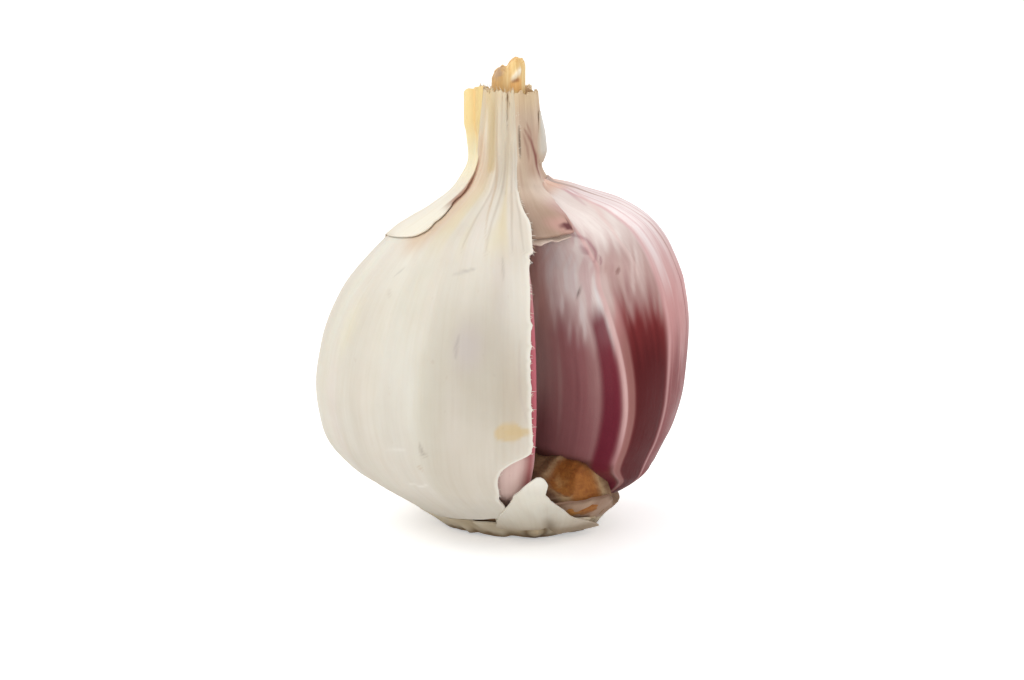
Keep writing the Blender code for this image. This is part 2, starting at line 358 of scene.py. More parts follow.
class Paint:
    """Layers of colour over a grid of azimuths and heights."""

    def __init__(self, base: Colour, azimuth: Array, z: Array) -> None:
        """Starts from one colour.

        Args:
            base: The colour.
            azimuth: The grid's azimuths.
            z: The grid's heights.
        """
        self.azimuth, self.z = azimuth, z
        self.tone = np.broadcast_to(linear(base), (*z.shape, 3)).copy()
        self.degree = FORM.radius(azimuth, z) * math.pi / 180.0

    def wash(self, colour: Colour, mask: Array) -> None:
        """Lays a colour over what is there.

        Args:
            colour: The colour.
            mask: How much of it, from 0 to 1.
        """
        mask = np.clip(mask, 0.0, 1.0)[..., None]
        self.tone = self.tone * (1.0 - mask) + linear(colour) * mask

    def washes(self, *layers: tuple[Colour, Array]) -> None:
        """Lays washes one over another, each given as its colour and its mask."""
        for colour, mask in layers:
            self.wash(colour, mask)

    def spots(self, *layers: tuple) -> None:
        """Lays oval spots one over another.

        Args:
            layers: The colour of each, the azimuth and height of its middle, half its width and half its
                height in millimetres, its strength from 0 to 1, how far its edge fades as a share of its
                size, and, where the edge wanders, how far.
        """
        for colour, (turn, level), (wide, high), strength, soft, *ragged in layers:
            x, y = (self.azimuth - turn) * self.degree, self.z - level
            away = np.hypot(x / wide, y / high)
            for share in ragged:
                away += share * Ripple(int(abs(turn * 7 + level)))(x / 0.9, y / 0.9)
            self.wash(colour, strength * (1.0 - ramp(1.0 - soft, 1.0 + soft, away)))

    def strokes(self, *layers: tuple[Colour, Path, float, float]) -> None:
        """Lays lines that taper and fade towards their ends.

        Args:
            layers: The colour of each, the azimuths and heights that it runs through, half its width at
                its middle in millimetres, and its strength from 0 to 1.
        """
        for colour, path, width, strength in layers:
            away, along = self.distance(path)
            full = 0.3 + 0.7 * np.sqrt(np.sin(math.pi * np.clip(along, 0.0, 1.0)))
            self.wash(colour, strength * (1.0 - ramp(0.0, 1.0, away / (width * full))) * full)

    def beside(self, path: Path, near: float, far: float) -> Array:
        """Is 1 along a line and 0 away from it.

        Args:
            path: The azimuths and heights that it runs through.
            near: Up to where it is 1, in millimetres.
            far: From where it is 0.

        Returns:
            Values from 0 to 1.
        """
        return 1.0 - ramp(near, far, self.distance(path)[0])

    def distance(self, path: Path) -> tuple[Array, Array]:
        """Distance to a line of azimuths and heights.

        Args:
            path: The azimuths and heights that it runs through.

        Returns:
            Distances in millimetres, and how far along the line the nearest point is, from 0 to 1.
        """
        nearest, place = np.full(self.z.shape, np.inf), np.zeros(self.z.shape)
        pieces = len(path) - 1
        for number, ((a0, z0), (a1, z1)) in enumerate(zip(path, path[1:])):
            dx, dz = (a1 - a0) * self.degree, z1 - z0
            px, pz = (self.azimuth - a0) * self.degree, self.z - z0
            t = np.clip((px * dx + pz * dz) / (dx * dx + dz * dz + 1e-9), 0.0, 1.0)
            away = np.hypot(px - t * dx, pz - t * dz)
            place = np.where(away < nearest, (number + t) / pieces, place)
            nearest = np.minimum(nearest, away)
        return nearest, place


@dataclass
class Surface:
    """A grid of points, in rows upwards and columns towards a rising azimuth."""

    points: Array
    tone: Array
    flow: Array
    relief: Array | float
    closed: bool = False
    poles: bool = False

    @classmethod
    def leaf(cls, paint: Paint, radius: Array, relief: Array | float, closed: bool = False) -> "Surface":
        """Lays a painted leaf on the bulb's form.

        Args:
            paint: The painted grid.
            radius: Its radii about the centre line.
            relief: How much of the veins and wrinkles each point takes.
            closed: Whether the leaf goes all the way round.

        Returns:
            The surface.
        """
        points = FORM.place(paint.azimuth, radius, paint.z)
        return cls(points, paint.tone, FORM.flow(paint.azimuth, paint.z), relief, closed)

    def mesh(self, name: str) -> bpy.types.Mesh:
        """Builds the mesh with its tone, flow and relief attributes.

        Args:
            name: The mesh's name.

        Returns:
            The mesh.
        """
        rows, columns = self.points.shape[:2]
        index = np.arange(rows * columns).reshape(rows, columns)
        left = index if self.closed else index[:, :-1]
        right = np.roll(index, -1, axis=1) if self.closed else index[:, 1:]
        quads = np.stack([left[:-1], right[:-1], right[1:], left[1:]], axis=-1)
        faces = quads.reshape(-1, 4).tolist()
        relief = np.broadcast_to(self.relief, (rows, columns))
        layers = [a.reshape(rows * columns, -1) for a in (self.points, self.tone, self.flow, relief)]
        for row, turn in ((0, 1), (rows - 1, -1)) if self.poles else ():
            pole = len(layers[0])
            layers = [np.vstack([a, a[index[row]].mean(axis=0)]) for a in layers]
            pairs = zip(left[row][::turn].tolist(), right[row][::turn].tolist())
            faces += [[pole, b, a] if turn > 0 else [pole, a, b] for a, b in pairs]
        points, tone, flow, relief = layers
        mesh = bpy.data.meshes.new(name)
        mesh.from_pydata(points.tolist(), [], faces)
        for key, values in (("tone", opaque(tone)), ("flow", flow), ("relief", relief)):
            store(mesh, key, values)
        mesh.shade_smooth()
        return mesh


class Graph:
    """Adds nodes to a tree and joins them."""

    def __init__(self, tree: bpy.types.NodeTree) -> None:
        """Takes the tree to add to."""
        self.tree = tree

    def node(self, kind: str, inputs: dict | None = None, **settings: object) -> bpy.types.Node:
        """Adds a node.

        Args:
            kind: The node's type.
            inputs: Values or sockets for its inputs, by name or number.
            settings: Values for its own settings.

        Returns:
            The node.
        """
        node = self.tree.nodes.new(kind)
        for key, value in settings.items():
            setattr(node, key, value)
        for key, value in (inputs or {}).items():
            self.feed(node.inputs[key], value)
        return node

    def feed(self, socket: Socket, value: object) -> None:
        """Gives a socket its value or links another socket to it.

        Args:
            socket: The socket.
            value: The value or the other socket.
        """
        if isinstance(value, Socket):
            self.tree.links.new(value, socket)
        else:
            socket.default_value = value

    def stored(self, name: str, kind: str) -> Socket:
        """Reads an attribute in a Geometry Nodes tree.

        Args:
            name: Its name.
            kind: Its data type.

        Returns:
            Its socket.
        """
        return self.node("GeometryNodeInputNamedAttribute", {"Name": name}, data_type=kind).outputs[0]

    def math(self, operation: str, first: object, second: object = 0.0) -> Socket:
        """Adds one step of arithmetic.

        Args:
            operation: Its name.
            first: A value or a socket.
            second: A value or a socket.

        Returns:
            The result's socket.
        """
        kind = "ShaderNodeMath"
        return self.node(kind, {0: first, 1: second}, operation=operation).outputs[0]

    def noise(
        self, vector: Socket, scale: object, detail: float, seed: object = 0.0
    ) -> Socket:
        """Adds a noise.

        Args:
            vector: Where it is read.
            scale: Three scales or a socket.
            detail: How many finer layers it has.
            seed: A value or a socket.

        Returns:
            The socket of its value, about 0.5.
        """
        inputs = {0: vector, 1: scale}
        scaled = self.node("ShaderNodeVectorMath", inputs, operation="MULTIPLY").outputs[0]
        inputs = {"Vector": scaled, "W": seed, "Scale": 1.0, "Detail": detail, "Roughness": 0.55}
        return self.node("ShaderNodeTexNoise", inputs, noise_dimensions="4D").outputs[0]

    def ranged(self, value: Socket, span: tuple, onto: tuple) -> Socket:
        """Maps one range onto another.

        Args:
            value: The socket to map.
            span: The range that it comes from.
            onto: The range that it goes to.

        Returns:
            The result's socket.
        """
        inputs = {0: value, 1: span[0], 2: span[1], 3: onto[0], 4: onto[1]}
        return self.node("ShaderNodeMapRange", inputs).outputs[0]

    def tint(self, colour: object, by: tuple[float, float, float], amount: object) -> Socket:
        """Multiplies a colour by another.

        Args:
            colour: The colour below, or its socket.
            by: The linear colour that tints it.
            amount: How much, as a value or a socket.

        Returns:
            The result's socket.
        """
        inputs = {0: amount, 6: colour, 7: (*by, 1.0)}
        return self.node("ShaderNodeMix", inputs, data_type="RGBA", blend_type="MULTIPLY").outputs[2]


@dataclass(frozen=True)
class SkinFinish:
    """A dry plant skin: its painted tone, broken up by fibres, mottling and specks."""

    name: str
    slot: Slot
    fibre_width: float = 0.35
    fibre_length: float = 14.0
    fibre_tint: tuple[float, float, float] = (0.86, 0.81, 0.74)
    fibre_strength: float = 0.2
    mottle_size: float = 6.0
    mottle_tint: tuple[float, float, float] = (0.92, 0.90, 0.87)
    mottle_strength: float = 0.45
    speck_tint: tuple[float, float, float] = (0.6, 0.45, 0.35)
    speck_strength: float = 0.25
    roughness: tuple[float, float] = (0.5, 0.7)
    fibre_depth: float = 0.025
    crumple_depth: float = 0.06
    translucency: float = 0.0
    gloss: float = 0.5

    def build(self) -> Material:
        """Builds the material.

        Returns:
            A material on one Principled shader.
        """
        material = bpy.data.materials.new(self.name)
        material.use_nodes = True
        graph = Graph(material.node_tree)
        shader = material.node_tree.nodes["Principled BSDF"]
        tone = graph.node("ShaderNodeAttribute", attribute_name="tone").outputs["Color"]
        flow = graph.node("ShaderNodeAttribute", attribute_name="flow").outputs["Vector"]
        across, along, size = 1.0 / self.fibre_width, 1.0 / self.fibre_length, 1.0 / self.mottle_size
        fibres = graph.noise(flow, (across, across, along), 3.0)
        wide = graph.noise(flow, (across / 4.0, across / 4.0, along * 1.5), 2.0, 3.0)
        mottle = graph.noise(flow, (size, size, size * 0.7), 4.0, 7.0)
        specks = graph.noise(flow, (0.9, 0.9, 0.35), 2.0, 11.0)
        crumple = graph.noise(flow, (0.8, 0.8, 0.5), 4.0, 5.0)
        layers = (
            (fibres, (0.42, 0.72), self.fibre_tint, self.fibre_strength),
            (wide, (0.45, 0.75), self.fibre_tint, self.fibre_strength),
            (mottle, (0.4, 0.7), self.mottle_tint, self.mottle_strength),
            (specks, (0.68, 0.8), self.speck_tint, self.speck_strength),
        )
        for pattern, span, tint, strength in layers:
            tone = graph.tint(tone, tint, graph.ranged(pattern, span, (0.0, strength)))
        inputs = {"Height": crumple, "Distance": self.crumple_depth * MM, "Strength": 1.0}
        rough = graph.node("ShaderNodeBump", inputs).outputs[0]
        inputs = {"Height": fibres, "Distance": self.fibre_depth * MM, "Normal": rough}
        values = {
            "Base Color": tone,
            "Roughness": graph.ranged(mottle, (0.3, 0.7), self.roughness),
            "Normal": graph.node("ShaderNodeBump", inputs).outputs[0],
            "Specular IOR Level": self.gloss,
            "Subsurface Weight": self.translucency,
            "Subsurface Radius": (1.0, 0.6, 0.4),
            "Subsurface Scale": 1.2 * MM,
        }
        for name, value in values.items():
            graph.feed(shader.inputs[name], value)
        return material


PAPER = SkinFinish("white_paper_skin", Slot.OUTER_SKIN, translucency=0.12)
CREAM = SkinFinish(
    "cream_leaf_skin", Slot.CREAM_LEAF, fibre_tint=(0.86, 0.76, 0.6), translucency=0.12
)
SHEATH = SkinFinish(
    "tan_sheath_skin", Slot.INNER_LEAF, fibre_tint=(0.78, 0.67, 0.6), fibre_strength=0.32,
    mottle_tint=(0.9, 0.8, 0.76),
)
CLOVE = SkinFinish(
    "clove_skin", Slot.CLOVE_SKIN, fibre_width=0.5, fibre_length=22.0, fibre_tint=(0.80, 0.68, 0.70),
    fibre_strength=0.24, mottle_size=5.0, mottle_tint=(0.86, 0.76, 0.76), roughness=(0.32, 0.5),
    fibre_depth=0.03, crumple_depth=0.05, gloss=0.2,
)
WOOD = SkinFinish(
    "woody_stalk", Slot.STALK_WOOD, fibre_width=0.22, fibre_length=4.0, fibre_tint=(0.82, 0.70, 0.54),
    fibre_strength=0.5, roughness=(0.6, 0.8), fibre_depth=0.08, crumple_depth=0.12,
)
CORK = SkinFinish(
    "corky_plate", Slot.BASAL_PLATE, fibre_width=0.6, fibre_length=0.8, fibre_tint=(0.66, 0.52, 0.4),
    fibre_strength=0.7, mottle_size=2.0, roughness=(0.65, 0.85), fibre_depth=0.1, crumple_depth=0.2,
)


class PieceTree:
    """A node tree that works on a piece's geometry and gives it its material."""

    NAME = "Piece"
    INPUTS: dict[str, float | int] = {}

    def __init__(self) -> None:
        """Builds the tree once, for every piece that uses it."""
        self.tree = bpy.data.node_groups.new(self.NAME, "GeometryNodeTree")
        face = self.tree.interface
        face.new_socket("Geometry", in_out="INPUT", socket_type="NodeSocketGeometry")
        for name, value in self.INPUTS.items():
            kind = "NodeSocketInt" if isinstance(value, int) else "NodeSocketFloat"
            face.new_socket(name, in_out="INPUT", socket_type=kind).default_value = value
        face.new_socket("Material", in_out="INPUT", socket_type="NodeSocketMaterial")
        face.new_socket("Geometry", in_out="OUTPUT", socket_type="NodeSocketGeometry")
        graph = Graph(self.tree)
        given = graph.node("NodeGroupInput").outputs
        shape = {"Geometry": self.shape(graph, given)}
        whole = graph.node("GeometryNodeRealizeInstances", shape).outputs[0]
        inputs = {"Geometry": whole, "Material": given["Material"]}
        dressed = graph.node("GeometryNodeSetMaterial", inputs).outputs[0]
        graph.node("NodeGroupOutput", {"Geometry": dressed})

    def shape(self, graph: Graph, given: bpy.types.NodeOutputs) -> Socket:
        """Adds the nodes that make the shape.

        Args:
            graph: Adds to the tree.
            given: The sockets of the tree's inputs.

        Returns:
            The shape's socket.
        """
        raise NotImplementedError

    def apply(self, obj: bpy.types.Object, inputs: dict[str, object]) -> None:
        """Puts the tree on an object, with its inputs set by their identifiers.

        Args:
            obj: The object.
            inputs: Values by input name.
        """
        modifier = obj.modifiers.new(self.NAME, "NODES")
        modifier.node_group = self.tree
        for item in self.tree.interface.items_tree:
            if item.item_type == "SOCKET" and item.in_out == "INPUT" and item.name in inputs:
                modifier[item.identifier] = inputs[item.name]


class Relief(PieceTree):
    """Raises veins and wrinkles along a skin's flow."""

    NAME = "SkinRelief"
    INPUTS = {
        "Vein Spacing": 1.2,
        "Vein Height": 0.00006,
        "Vein Stretch": 16.0,
        "Wrinkle Spacing": 4.0,
        "Wrinkle Height": 0.0002,
        "Wrinkle Stretch": 3.0,
        "Seed": 0.0,
    }

    def shape(self, graph: Graph, given: bpy.types.NodeOutputs) -> Socket:
        """Moves the skin along its normals.

        Args:
            graph: Adds to the tree.
            given: The sockets of the tree's inputs.

        Returns:
            The skin's socket.
        """
        flow, heights = graph.stored("flow", "FLOAT_VECTOR"), []
        for kind, detail in (("Vein", 2.0), ("Wrinkle", 3.0)):
            across = graph.math("DIVIDE", 1.0, given[f"{kind} Spacing"])
            along = graph.math("DIVIDE", across, given[f"{kind} Stretch"])
            scale = graph.node("ShaderNodeCombineXYZ", {0: across, 1: across, 2: along}).outputs[0]
            level = graph.math("SUBTRACT", graph.noise(flow, scale, detail, given["Seed"]), 0.5)
            heights.append(graph.math("MULTIPLY", level, given[f"{kind} Height"]))
        share = graph.stored("relief", "FLOAT")
        height = graph.math("MULTIPLY", graph.math("ADD", *heights), share)
        inputs = {0: graph.node("GeometryNodeInputNormal").outputs[0], "Scale": height}
        rise = graph.node("ShaderNodeVectorMath", inputs, operation="SCALE").outputs[0]
        inputs = {"Geometry": given["Geometry"], "Offset": rise}
        return graph.node("GeometryNodeSetPosition", inputs).outputs[0]


class Fringe(PieceTree):
    """Stands tapered fibres on points, leaning the way that each point says."""

    NAME = "FibreFringe"
    INPUTS = {"Fibre Length": 0.0008, "Fibre Thickness": 0.00006, "Seed": 0}
    FIBRE = {"Vertices": 5, "Side Segments": 3, "Radius Top": 0.25, "Radius Bottom": 1.0, "Depth": 1.0}
    LENGTHS = (0.35, 1.3)

    def shape(self, graph: Graph, given: bpy.types.NodeOutputs) -> Socket:
        """Sets a fibre on each point.

        Args:
            graph: Adds to the tree.
            given: The sockets of the tree's inputs.

        Returns:
            The fibres' socket.
        """
        fibre = graph.node("GeometryNodeMeshCone", self.FIBRE).outputs[0]
        inputs = {"Vector": graph.stored("lean", "FLOAT_VECTOR")}
        turn = graph.node("FunctionNodeAlignRotationToVector", inputs, axis="Z").outputs[0]
        inputs = {2: self.LENGTHS[0], 3: self.LENGTHS[1], "Seed": given["Seed"]}
        share = graph.node("FunctionNodeRandomValue", inputs, data_type="FLOAT").outputs[1]
        length = graph.math("MULTIPLY", share, given["Fibre Length"])
        inputs = {0: given["Fibre Thickness"], 1: given["Fibre Thickness"], 2: length}
        size = graph.node("ShaderNodeCombineXYZ", inputs).outputs[0]
        inputs = {"Points": given["Geometry"], "Instance": fibre, "Rotation": turn, "Scale": size}
        return graph.node("GeometryNodeInstanceOnPoints", inputs).outputs[0]


@dataclass(frozen=True)
class ReliefSizes:
    """How strongly a skin is veined and wrinkled, in millimetres."""

    vein_spacing: float = 1.2
    vein_height: float = 0.06
    vein_stretch: float = 16.0
    wrinkle_spacing: float = 4.0
    wrinkle_height: float = 0.2
    wrinkle_stretch: float = 3.0
    seed: float = 0.0

    def inputs(self) -> dict[str, float]:
        """The relief tree's inputs, with heights in metres."""
        named = {name.replace("_", " ").title(): value for name, value in asdict(self).items()}
        return {name: value * MM if name.endswith("Height") else value for name, value in named.items()}


class Workshop:
    """Turns surfaces into finished pieces that ride on the frame."""

    SHARP_ANGLE = 70.0

    def __init__(self) -> None:
        """Builds the trees that the pieces share."""
        self.relief, self.fringe = Relief(), Fringe()
        self.materials: dict[str, Material] = {}

    def material(self, finish: SkinFinish) -> Material:
        """Builds a finish's material the first time that it is asked for.

        Args:
            finish: The finish.

        Returns:
            Its material.
        """
        if finish.name not in self.materials:
            self.materials[finish.name] = finish.build()
        return self.materials[finish.name]

    def settle(
        self, obj: bpy.types.Object, name: str, nodes: tuple[str, ...]
    ) -> bpy.types.Object:
        """Makes the evaluated object a plain mesh piece of the frame.

        Args:
            obj: The object with its modifiers.
            name: The piece's name.
            nodes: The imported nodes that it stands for.

        Returns:
            The piece.
        """
        bpy.context.view_layer.update()
        graph = bpy.context.evaluated_depsgraph_get()
        evaluated = obj.evaluated_get(graph)
        mesh = bpy.data.meshes.new_from_object(evaluated, preserve_all_data_layers=True, depsgraph=graph)
        bpy.data.objects.remove(obj)
        mesh.name = name
        mesh.shade_smooth()
        mesh.set_sharp_from_angle(angle=math.radians(self.SHARP_ANGLE))
        piece = added(name + "_finished", mesh)
        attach(piece, BODY)
        if nodes:
            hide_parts(*nodes)
        log.info("%s: %d faces", name, len(mesh.polygons))
        return piece

    def skin(
        self,
        name: str,
        surface: Surface,
        finish: SkinFinish,
        sizes: ReliefSizes,
        thickness: float = 0.0,
        packed: bool = True,
    ) -> None:
        """Makes a skin or a solid from its surface.

        Args:
            name: The piece's name.
            surface: Its grid.
            finish: Its finish.
            sizes: Its veins and wrinkles.
            thickness: How thick a skin is, or 0 for a closed solid.
            packed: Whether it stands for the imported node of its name.
        """
        obj = added(name + "_blank", surface.mesh(name + "_blank"))
        self.relief.apply(obj, {**sizes.inputs(), "Material": self.material(finish)})
        if thickness:
            solidify = obj.modifiers.new("Skin", "SOLIDIFY")
            solidify.thickness = thickness * MM
            solidify.offset = 0.0
        self.settle(obj, name, (name,) if packed else ())

    def fibres(
        self,
        name: str,
        points: Array,
        lean: Array,
        tone: Array,
        size: tuple[float, float],
        finish: SkinFinish,
        slot: Slot,
        seed: int,
    ) -> bpy.types.Object:
        """Stands fibres on points.

        Args:
            name: The piece's name.
            points: Their feet, in metres.
            lean: The way that each leans.
            tone: The linear colour of each.
            size: Their length and half their thickness, in millimetres.
            finish: Their finish.
            slot: The record's slot of the finish; not used.
            seed: Picks their lengths.

        Returns:
            The piece.
        """
        mesh = bpy.data.meshes.new(name + "_feet")
        mesh.from_pydata(points.tolist(), [], [])
        for key, values in (("lean", lean), ("tone", opaque(tone)), ("flow", points / MM)):
            store(mesh, key, values)
        obj = added(name + "_feet", mesh)
        sizes = {"Fibre Length": size[0] * MM, "Fibre Thickness": size[1] * MM}
        self.fringe.apply(obj, {**sizes, "Seed": seed, "Material": self.material(finish)})
        return self.settle(obj, name, ())


class Skin:
    """A piece that is made from one surface."""

    name: str
    finish: SkinFinish
    sizes: ReliefSizes
    thickness: float = 0.0

    def surface(self) -> Surface:
        """Shapes and paints the piece.

        Returns:
            Its grid.
        """
        raise NotImplementedError

    def build(self, workshop: Workshop) -> None:
        """Makes the piece with the workshop."""
        workshop.skin(self.name, self.surface(), self.finish, self.sizes, self.thickness)


@dataclass(frozen=True)
class OuterSkin:
    """The white papery leaf round the front left, the left and the back, up to the neck's top."""

    thickness: float = 0.32
    foot: float = 3.0
    neck_top: float = 67.6
    far_edge: float = -232.0
    far_drift: float = 4.0
    tooth: float = 0.24
    slit_depth: float = 1.6
    split_depth: float = 0.9
    loose_fibres: int = 120
    torn_edge: Path = (
        (2, -7), (4.8, -3.8), (6.2, -3.2), (7.4, -3.8), (9, -2.6), (11, -2), (12.8, -0.6),
        (14, 2.6), (15, 7.4), (15.8, 8.9), (19, 8.7), (28, 8.3), (35, 8.8), (40, 9.5),
        (44.2, 10.2), (44.8, 11), (45.3, 12.2), (47, 13), (48.8, 13.8), (50, 13), (52.2, 12.2),
        (55.5, 12.6), (58, 15), (60, 17), (62.5, 17.4), (64.5, 14), (66, 11), (70, 9),
    )
    hem: Path = ((-232, 2.6), (-60, 2.8), (-42, 3.4), (-26, 3.8), (-8, 4.6), (10, 4.6))
    columns: int = 250
    rows: int = 178

    def grid(self) -> tuple[Array, Array, Array]:
        """Lays out the leaf.

        Returns:
            Azimuths and heights in rows and columns, and the distance from the torn edge.
        """
        share = np.linspace(0, 1, self.columns)
        share = 1 - (1 - share) ** 1.3
        level = FORM.levels(self.rows, self.foot, self.neck_top)[:, None]
        z = self.foot + level * (self.neck_top - self.foot)
        teeth = ramp(0.35, 0.9, Ripple(4)(z / 0.55)) * self.tooth
        wander = Ripple(3)(z / 2.3) * 0.10 + teeth + Ripple(5)(z / 7) * 0.10
        calm = ramp(13, 17, z) * (1 - 0.75 * ramp(46, 56, z))
        degree = FORM.radius(0, z) * math.pi / 180
        edge = SmoothCurve(self.torn_edge)(z) + wander * calm / degree
        far = self.far_edge + self.far_drift * ramp(14, 4, z)
        azimuth = far + (edge - far) * share[None, :]
        ragged = 0.30 * Ripple(8)(azimuth / 9) + 0.25 * Ripple(9)(azimuth / 2.2)
        slit = bell(-3, 1.6, azimuth) + 0.6 * bell(-39, 2, azimuth)
        top = self.neck_top + ragged - self.slit_depth * slit
        low = SmoothCurve(self.hem)(azimuth) + 0.25 * Ripple(11)(azimuth / 6)
        height = low + level * (top - low)
        apart = (edge - azimuth) * FORM.radius(azimuth, height) * math.pi / 180
        return azimuth, height, apart

    def swell(self, azimuth: Array, z: Array) -> tuple[Array, Array]:
        """How the leaf follows the cloves below it and pleats at the neck.

        Args:
            azimuth: Azimuths.
            z: Heights.

        Returns:
            How far the leaf stands out, in millimetres, and the pleats, from -1 to 1.
        """
        neck = ramp(47, 58, z)
        seams = np.cos(np.radians((azimuth - FORM.seat_start) * 360 / FORM.seat_angle))
        lobes = -0.40 * ramp(0.1, 1, seams) * bump(8, 44, 7, z)
        broad = 0.36 * Ripple(21)(azimuth / 17, z / 12) * bump(8, 46, 5, z)
        pleat = Ripple(22)(azimuth / 13 + 0.8 * Ripple(23)(z / 8), z / 26)
        pleats = 0.36 * pleat * neck + 0.10 * Ripple(24)(azimuth / 5, z / 20) * neck
        return lobes + broad + pleats, pleat

    def surface(self) -> Surface:
        """Shapes and paints the leaf.

        Returns:
            Its grid.
        """
        azimuth, z, apart = self.grid()
        body, pleat = self.swell(azimuth, z)
        dent = -0.35 * bell(-4, 9, azimuth) * bell(29.5, 6, z)
        curl = 0.25 * (1 - ramp(0, 1.8, apart)) * bump(14, 44, 3, z)
        split = -self.split_depth * bell(-3, 2.2, azimuth) * ramp(63, 66.5, z)
        lift = body + dent + curl + split - self.thickness / 2
        relief = 0.5 + 0.5 * ramp(47, 58, z) + 0.2 * ramp(12, 5, z)
        paint = self.painted(azimuth, z, apart, pleat)
        return Surface.leaf(paint, FORM.inset(azimuth, z, -lift), relief)

    def painted(self, azimuth: Array, z: Array, apart: Array, pleat: Array) -> Paint:
        """Paints the leaf.

        Args:
            azimuth: The grid's azimuths.
            z: The grid's heights.
            apart: Distance from the torn edge.
            pleat: The neck's pleats, from -1 to 1.

        Returns:
            The painted grid.
        """
        paint = Paint((226, 218, 206), azimuth, z)
        neck = ramp(48, 62, z)
        paint.washes(
            ((214, 206, 192), 0.45 + 0.6 * Ripple(31)(azimuth / 19, z / 16)),
            ((234, 229, 219), 0.7 * Ripple(32)(azimuth / 9, z / 24)),
            ((220, 206, 199), 0.5 * Ripple(33)(azimuth / 7, z / 20)),
            ((214, 214, 196), 0.4 * Ripple(34)(azimuth / 8, z / 22)),
        )
        paint.spots(
            ((200, 193, 177), (-54, 30), (3.2, 12), 0.5, 0.9),
            ((200, 193, 177), (-20, 26), (2.4, 15), 0.45, 0.9),
            ((206, 198, 184), (-35, 20), (2, 12), 0.35, 0.9),
            ((204, 194, 178), (-10, 14.5), (7, 6), 0.5, 0.9),
            ((238, 232, 222), (4, 36), (2.2, 6), 0.6, 0.9),
            # Painted shade of the dent, partly the clove's colour showing through the thin skin.
            ((182, 172, 154), (-4, 29), (5.4, 9), 0.55, 0.7),
            ((196, 180, 160), (3, 25), (2.4, 7), 0.45, 0.8),
            ((198, 186, 178), (-9.5, 33), (2.2, 3.4), 0.45, 0.8),
        )
        # A crease painted as a dark line of shade, with painted shade in the hollow to its right.
        paint.strokes(((150, 138, 130), ((-13.4, 34.4), (-14.2, 32.6), (-14, 30.8)), 0.45, 0.5))
        paint.spots(((198, 188, 184), (-11, 32.4), (1.9, 2.6), 0.5, 0.8))
        paint.strokes(
            ((150, 142, 136), ((-19, 42.4), (-14, 42.9), (-10, 43.3)), 0.36, 0.4),
            ((166, 158, 146), ((0, 45.2), (0.4, 42)), 0.3, 0.35),
            ((168, 160, 150), ((-47, 41), (-43, 42.6)), 0.35, 0.35),
            ((172, 160, 150), ((-46, 39.4), (-43, 38.2)), 0.4, 0.3),
            ((142, 126, 112), ((-25.6, 18), (-25, 16.6), (-23.4, 15.9)), 0.65, 0.5),
            ((190, 160, 126), ((-28, 14.4), (-26.5, 13.4)), 0.5, 0.5),
            ((246, 241, 232), ((-37, 10.6), (-31, 10.3), (-27, 11.1)), 0.34, 0.6),
            ((246, 241, 232), ((-39, 16), (-31, 16.6)), 0.3, 0.4),
        )
        paint.spots(
            ((226, 219, 186), (-61, 33), (2.4, 4), 0.35, 0.8),
            ((212, 188, 146), (2, 20.3), (2.1, 1.45), 0.85, 0.16, 0.12),
            ((212, 188, 146), (5, 20.4), (2.2, 0.7), 0.85, 0.16, 0.12),
        )
        paint.washes(
            ((230, 222, 210), 0.5 * ramp(10, 5, z)),
            ((190, 176, 156), 0.55 * ramp(4.2, 2.6, z)),
        )
        # A soft line beside the torn edge: painted shadow of the edge's curl.
        paint.strokes(((196, 182, 172), ((5.6, 34), (5, 30), (5.2, 26), (7.4, 21.5)), 0.4, 0.5))
        self.paint_neck(paint, neck, pleat)
        # Painted light: the thin torn edge is lighter, standing in for light shining through it.
        paint.wash((240, 234, 223), 0.75 * (1 - ramp(0.15, 0.75, apart)) * (1 - neck))
        back = ramp(-100, -130, azimuth)
        paint.wash((206, 186, 160), 0.35 * back * Ripple(37)(azimuth / 12, z / 6))
        return paint

    def paint_neck(self, paint: Paint, neck: Array, pleat: Array) -> None:
        """Paints the neck's streaks, painted highlight and shade on its pleats, and painted shade beside the
        cape's edge.

        Args:
            paint: The painted grid.
            neck: How far each point is up the neck, from 0 to 1.
            pleat: The neck's pleats, from -1 to 1.
        """
        azimuth, z = paint.azimuth, paint.z
        paint.wash((222, 206, 180), 0.75 * neck)
        tan = neck * bump(-50, -20, 10, azimuth) * ramp(57, 64, z)
        paint.washes(
            ((210, 184, 140), 0.5 * tan),
            # Painted highlight on the pleats' crests and painted shade in their grooves.
            ((236, 228, 214), 0.7 * neck * ramp(0, 0.8, pleat)),
            ((202, 180, 152), 0.55 * neck * ramp(0.1, 0.9, -pleat)),
        )
        fine = Ripple(41)(azimuth / 3.2, z / 18)
        paint.washes(
            ((186, 160, 138), 0.5 * ramp(50, 56, z) * ramp(0.35, 0.9, fine)),
            ((232, 208, 164), 0.4 * ramp(63, 68, z)),
            ((214, 202, 190), 0.5 * bump(44, 52, 4, z) * (0.4 + fine)),
        )
        yellow = Ripple(42)(azimuth / 6, z / 9)
        paint.wash((221, 205, 158), 0.5 * bump(46, 55, 3, z) * ramp(0.2, 0.8, yellow))
        # Painted shade beside the cape's front edge: a tan band, and a dark brownish-red line in the gap
        # under the edge.
        cape = ((-66, 58), (-54, 54), (-51, 51.2), (-48.5, 49.4), (-48, 47.6))
        paint.wash((213, 186, 158), 0.8 * paint.beside(cape, 1.2, 5))
        line = ((-60, 57.4), (-54, 54), (-51.6, 51), (-47.6, 48.6))
        paint.strokes(
            ((156, 98, 76), line, 0.8, 0.85),
            ((96, 60, 50), ((-49.5, 50.4), (-47, 48.8)), 0.4, 0.6),
        )
        groove = ((-38, 67.5), (-33, 64), (-30, 60), (-27, 56))
        paint.wash((208, 184, 136), 0.65 * paint.beside(groove, 0.2, 1))
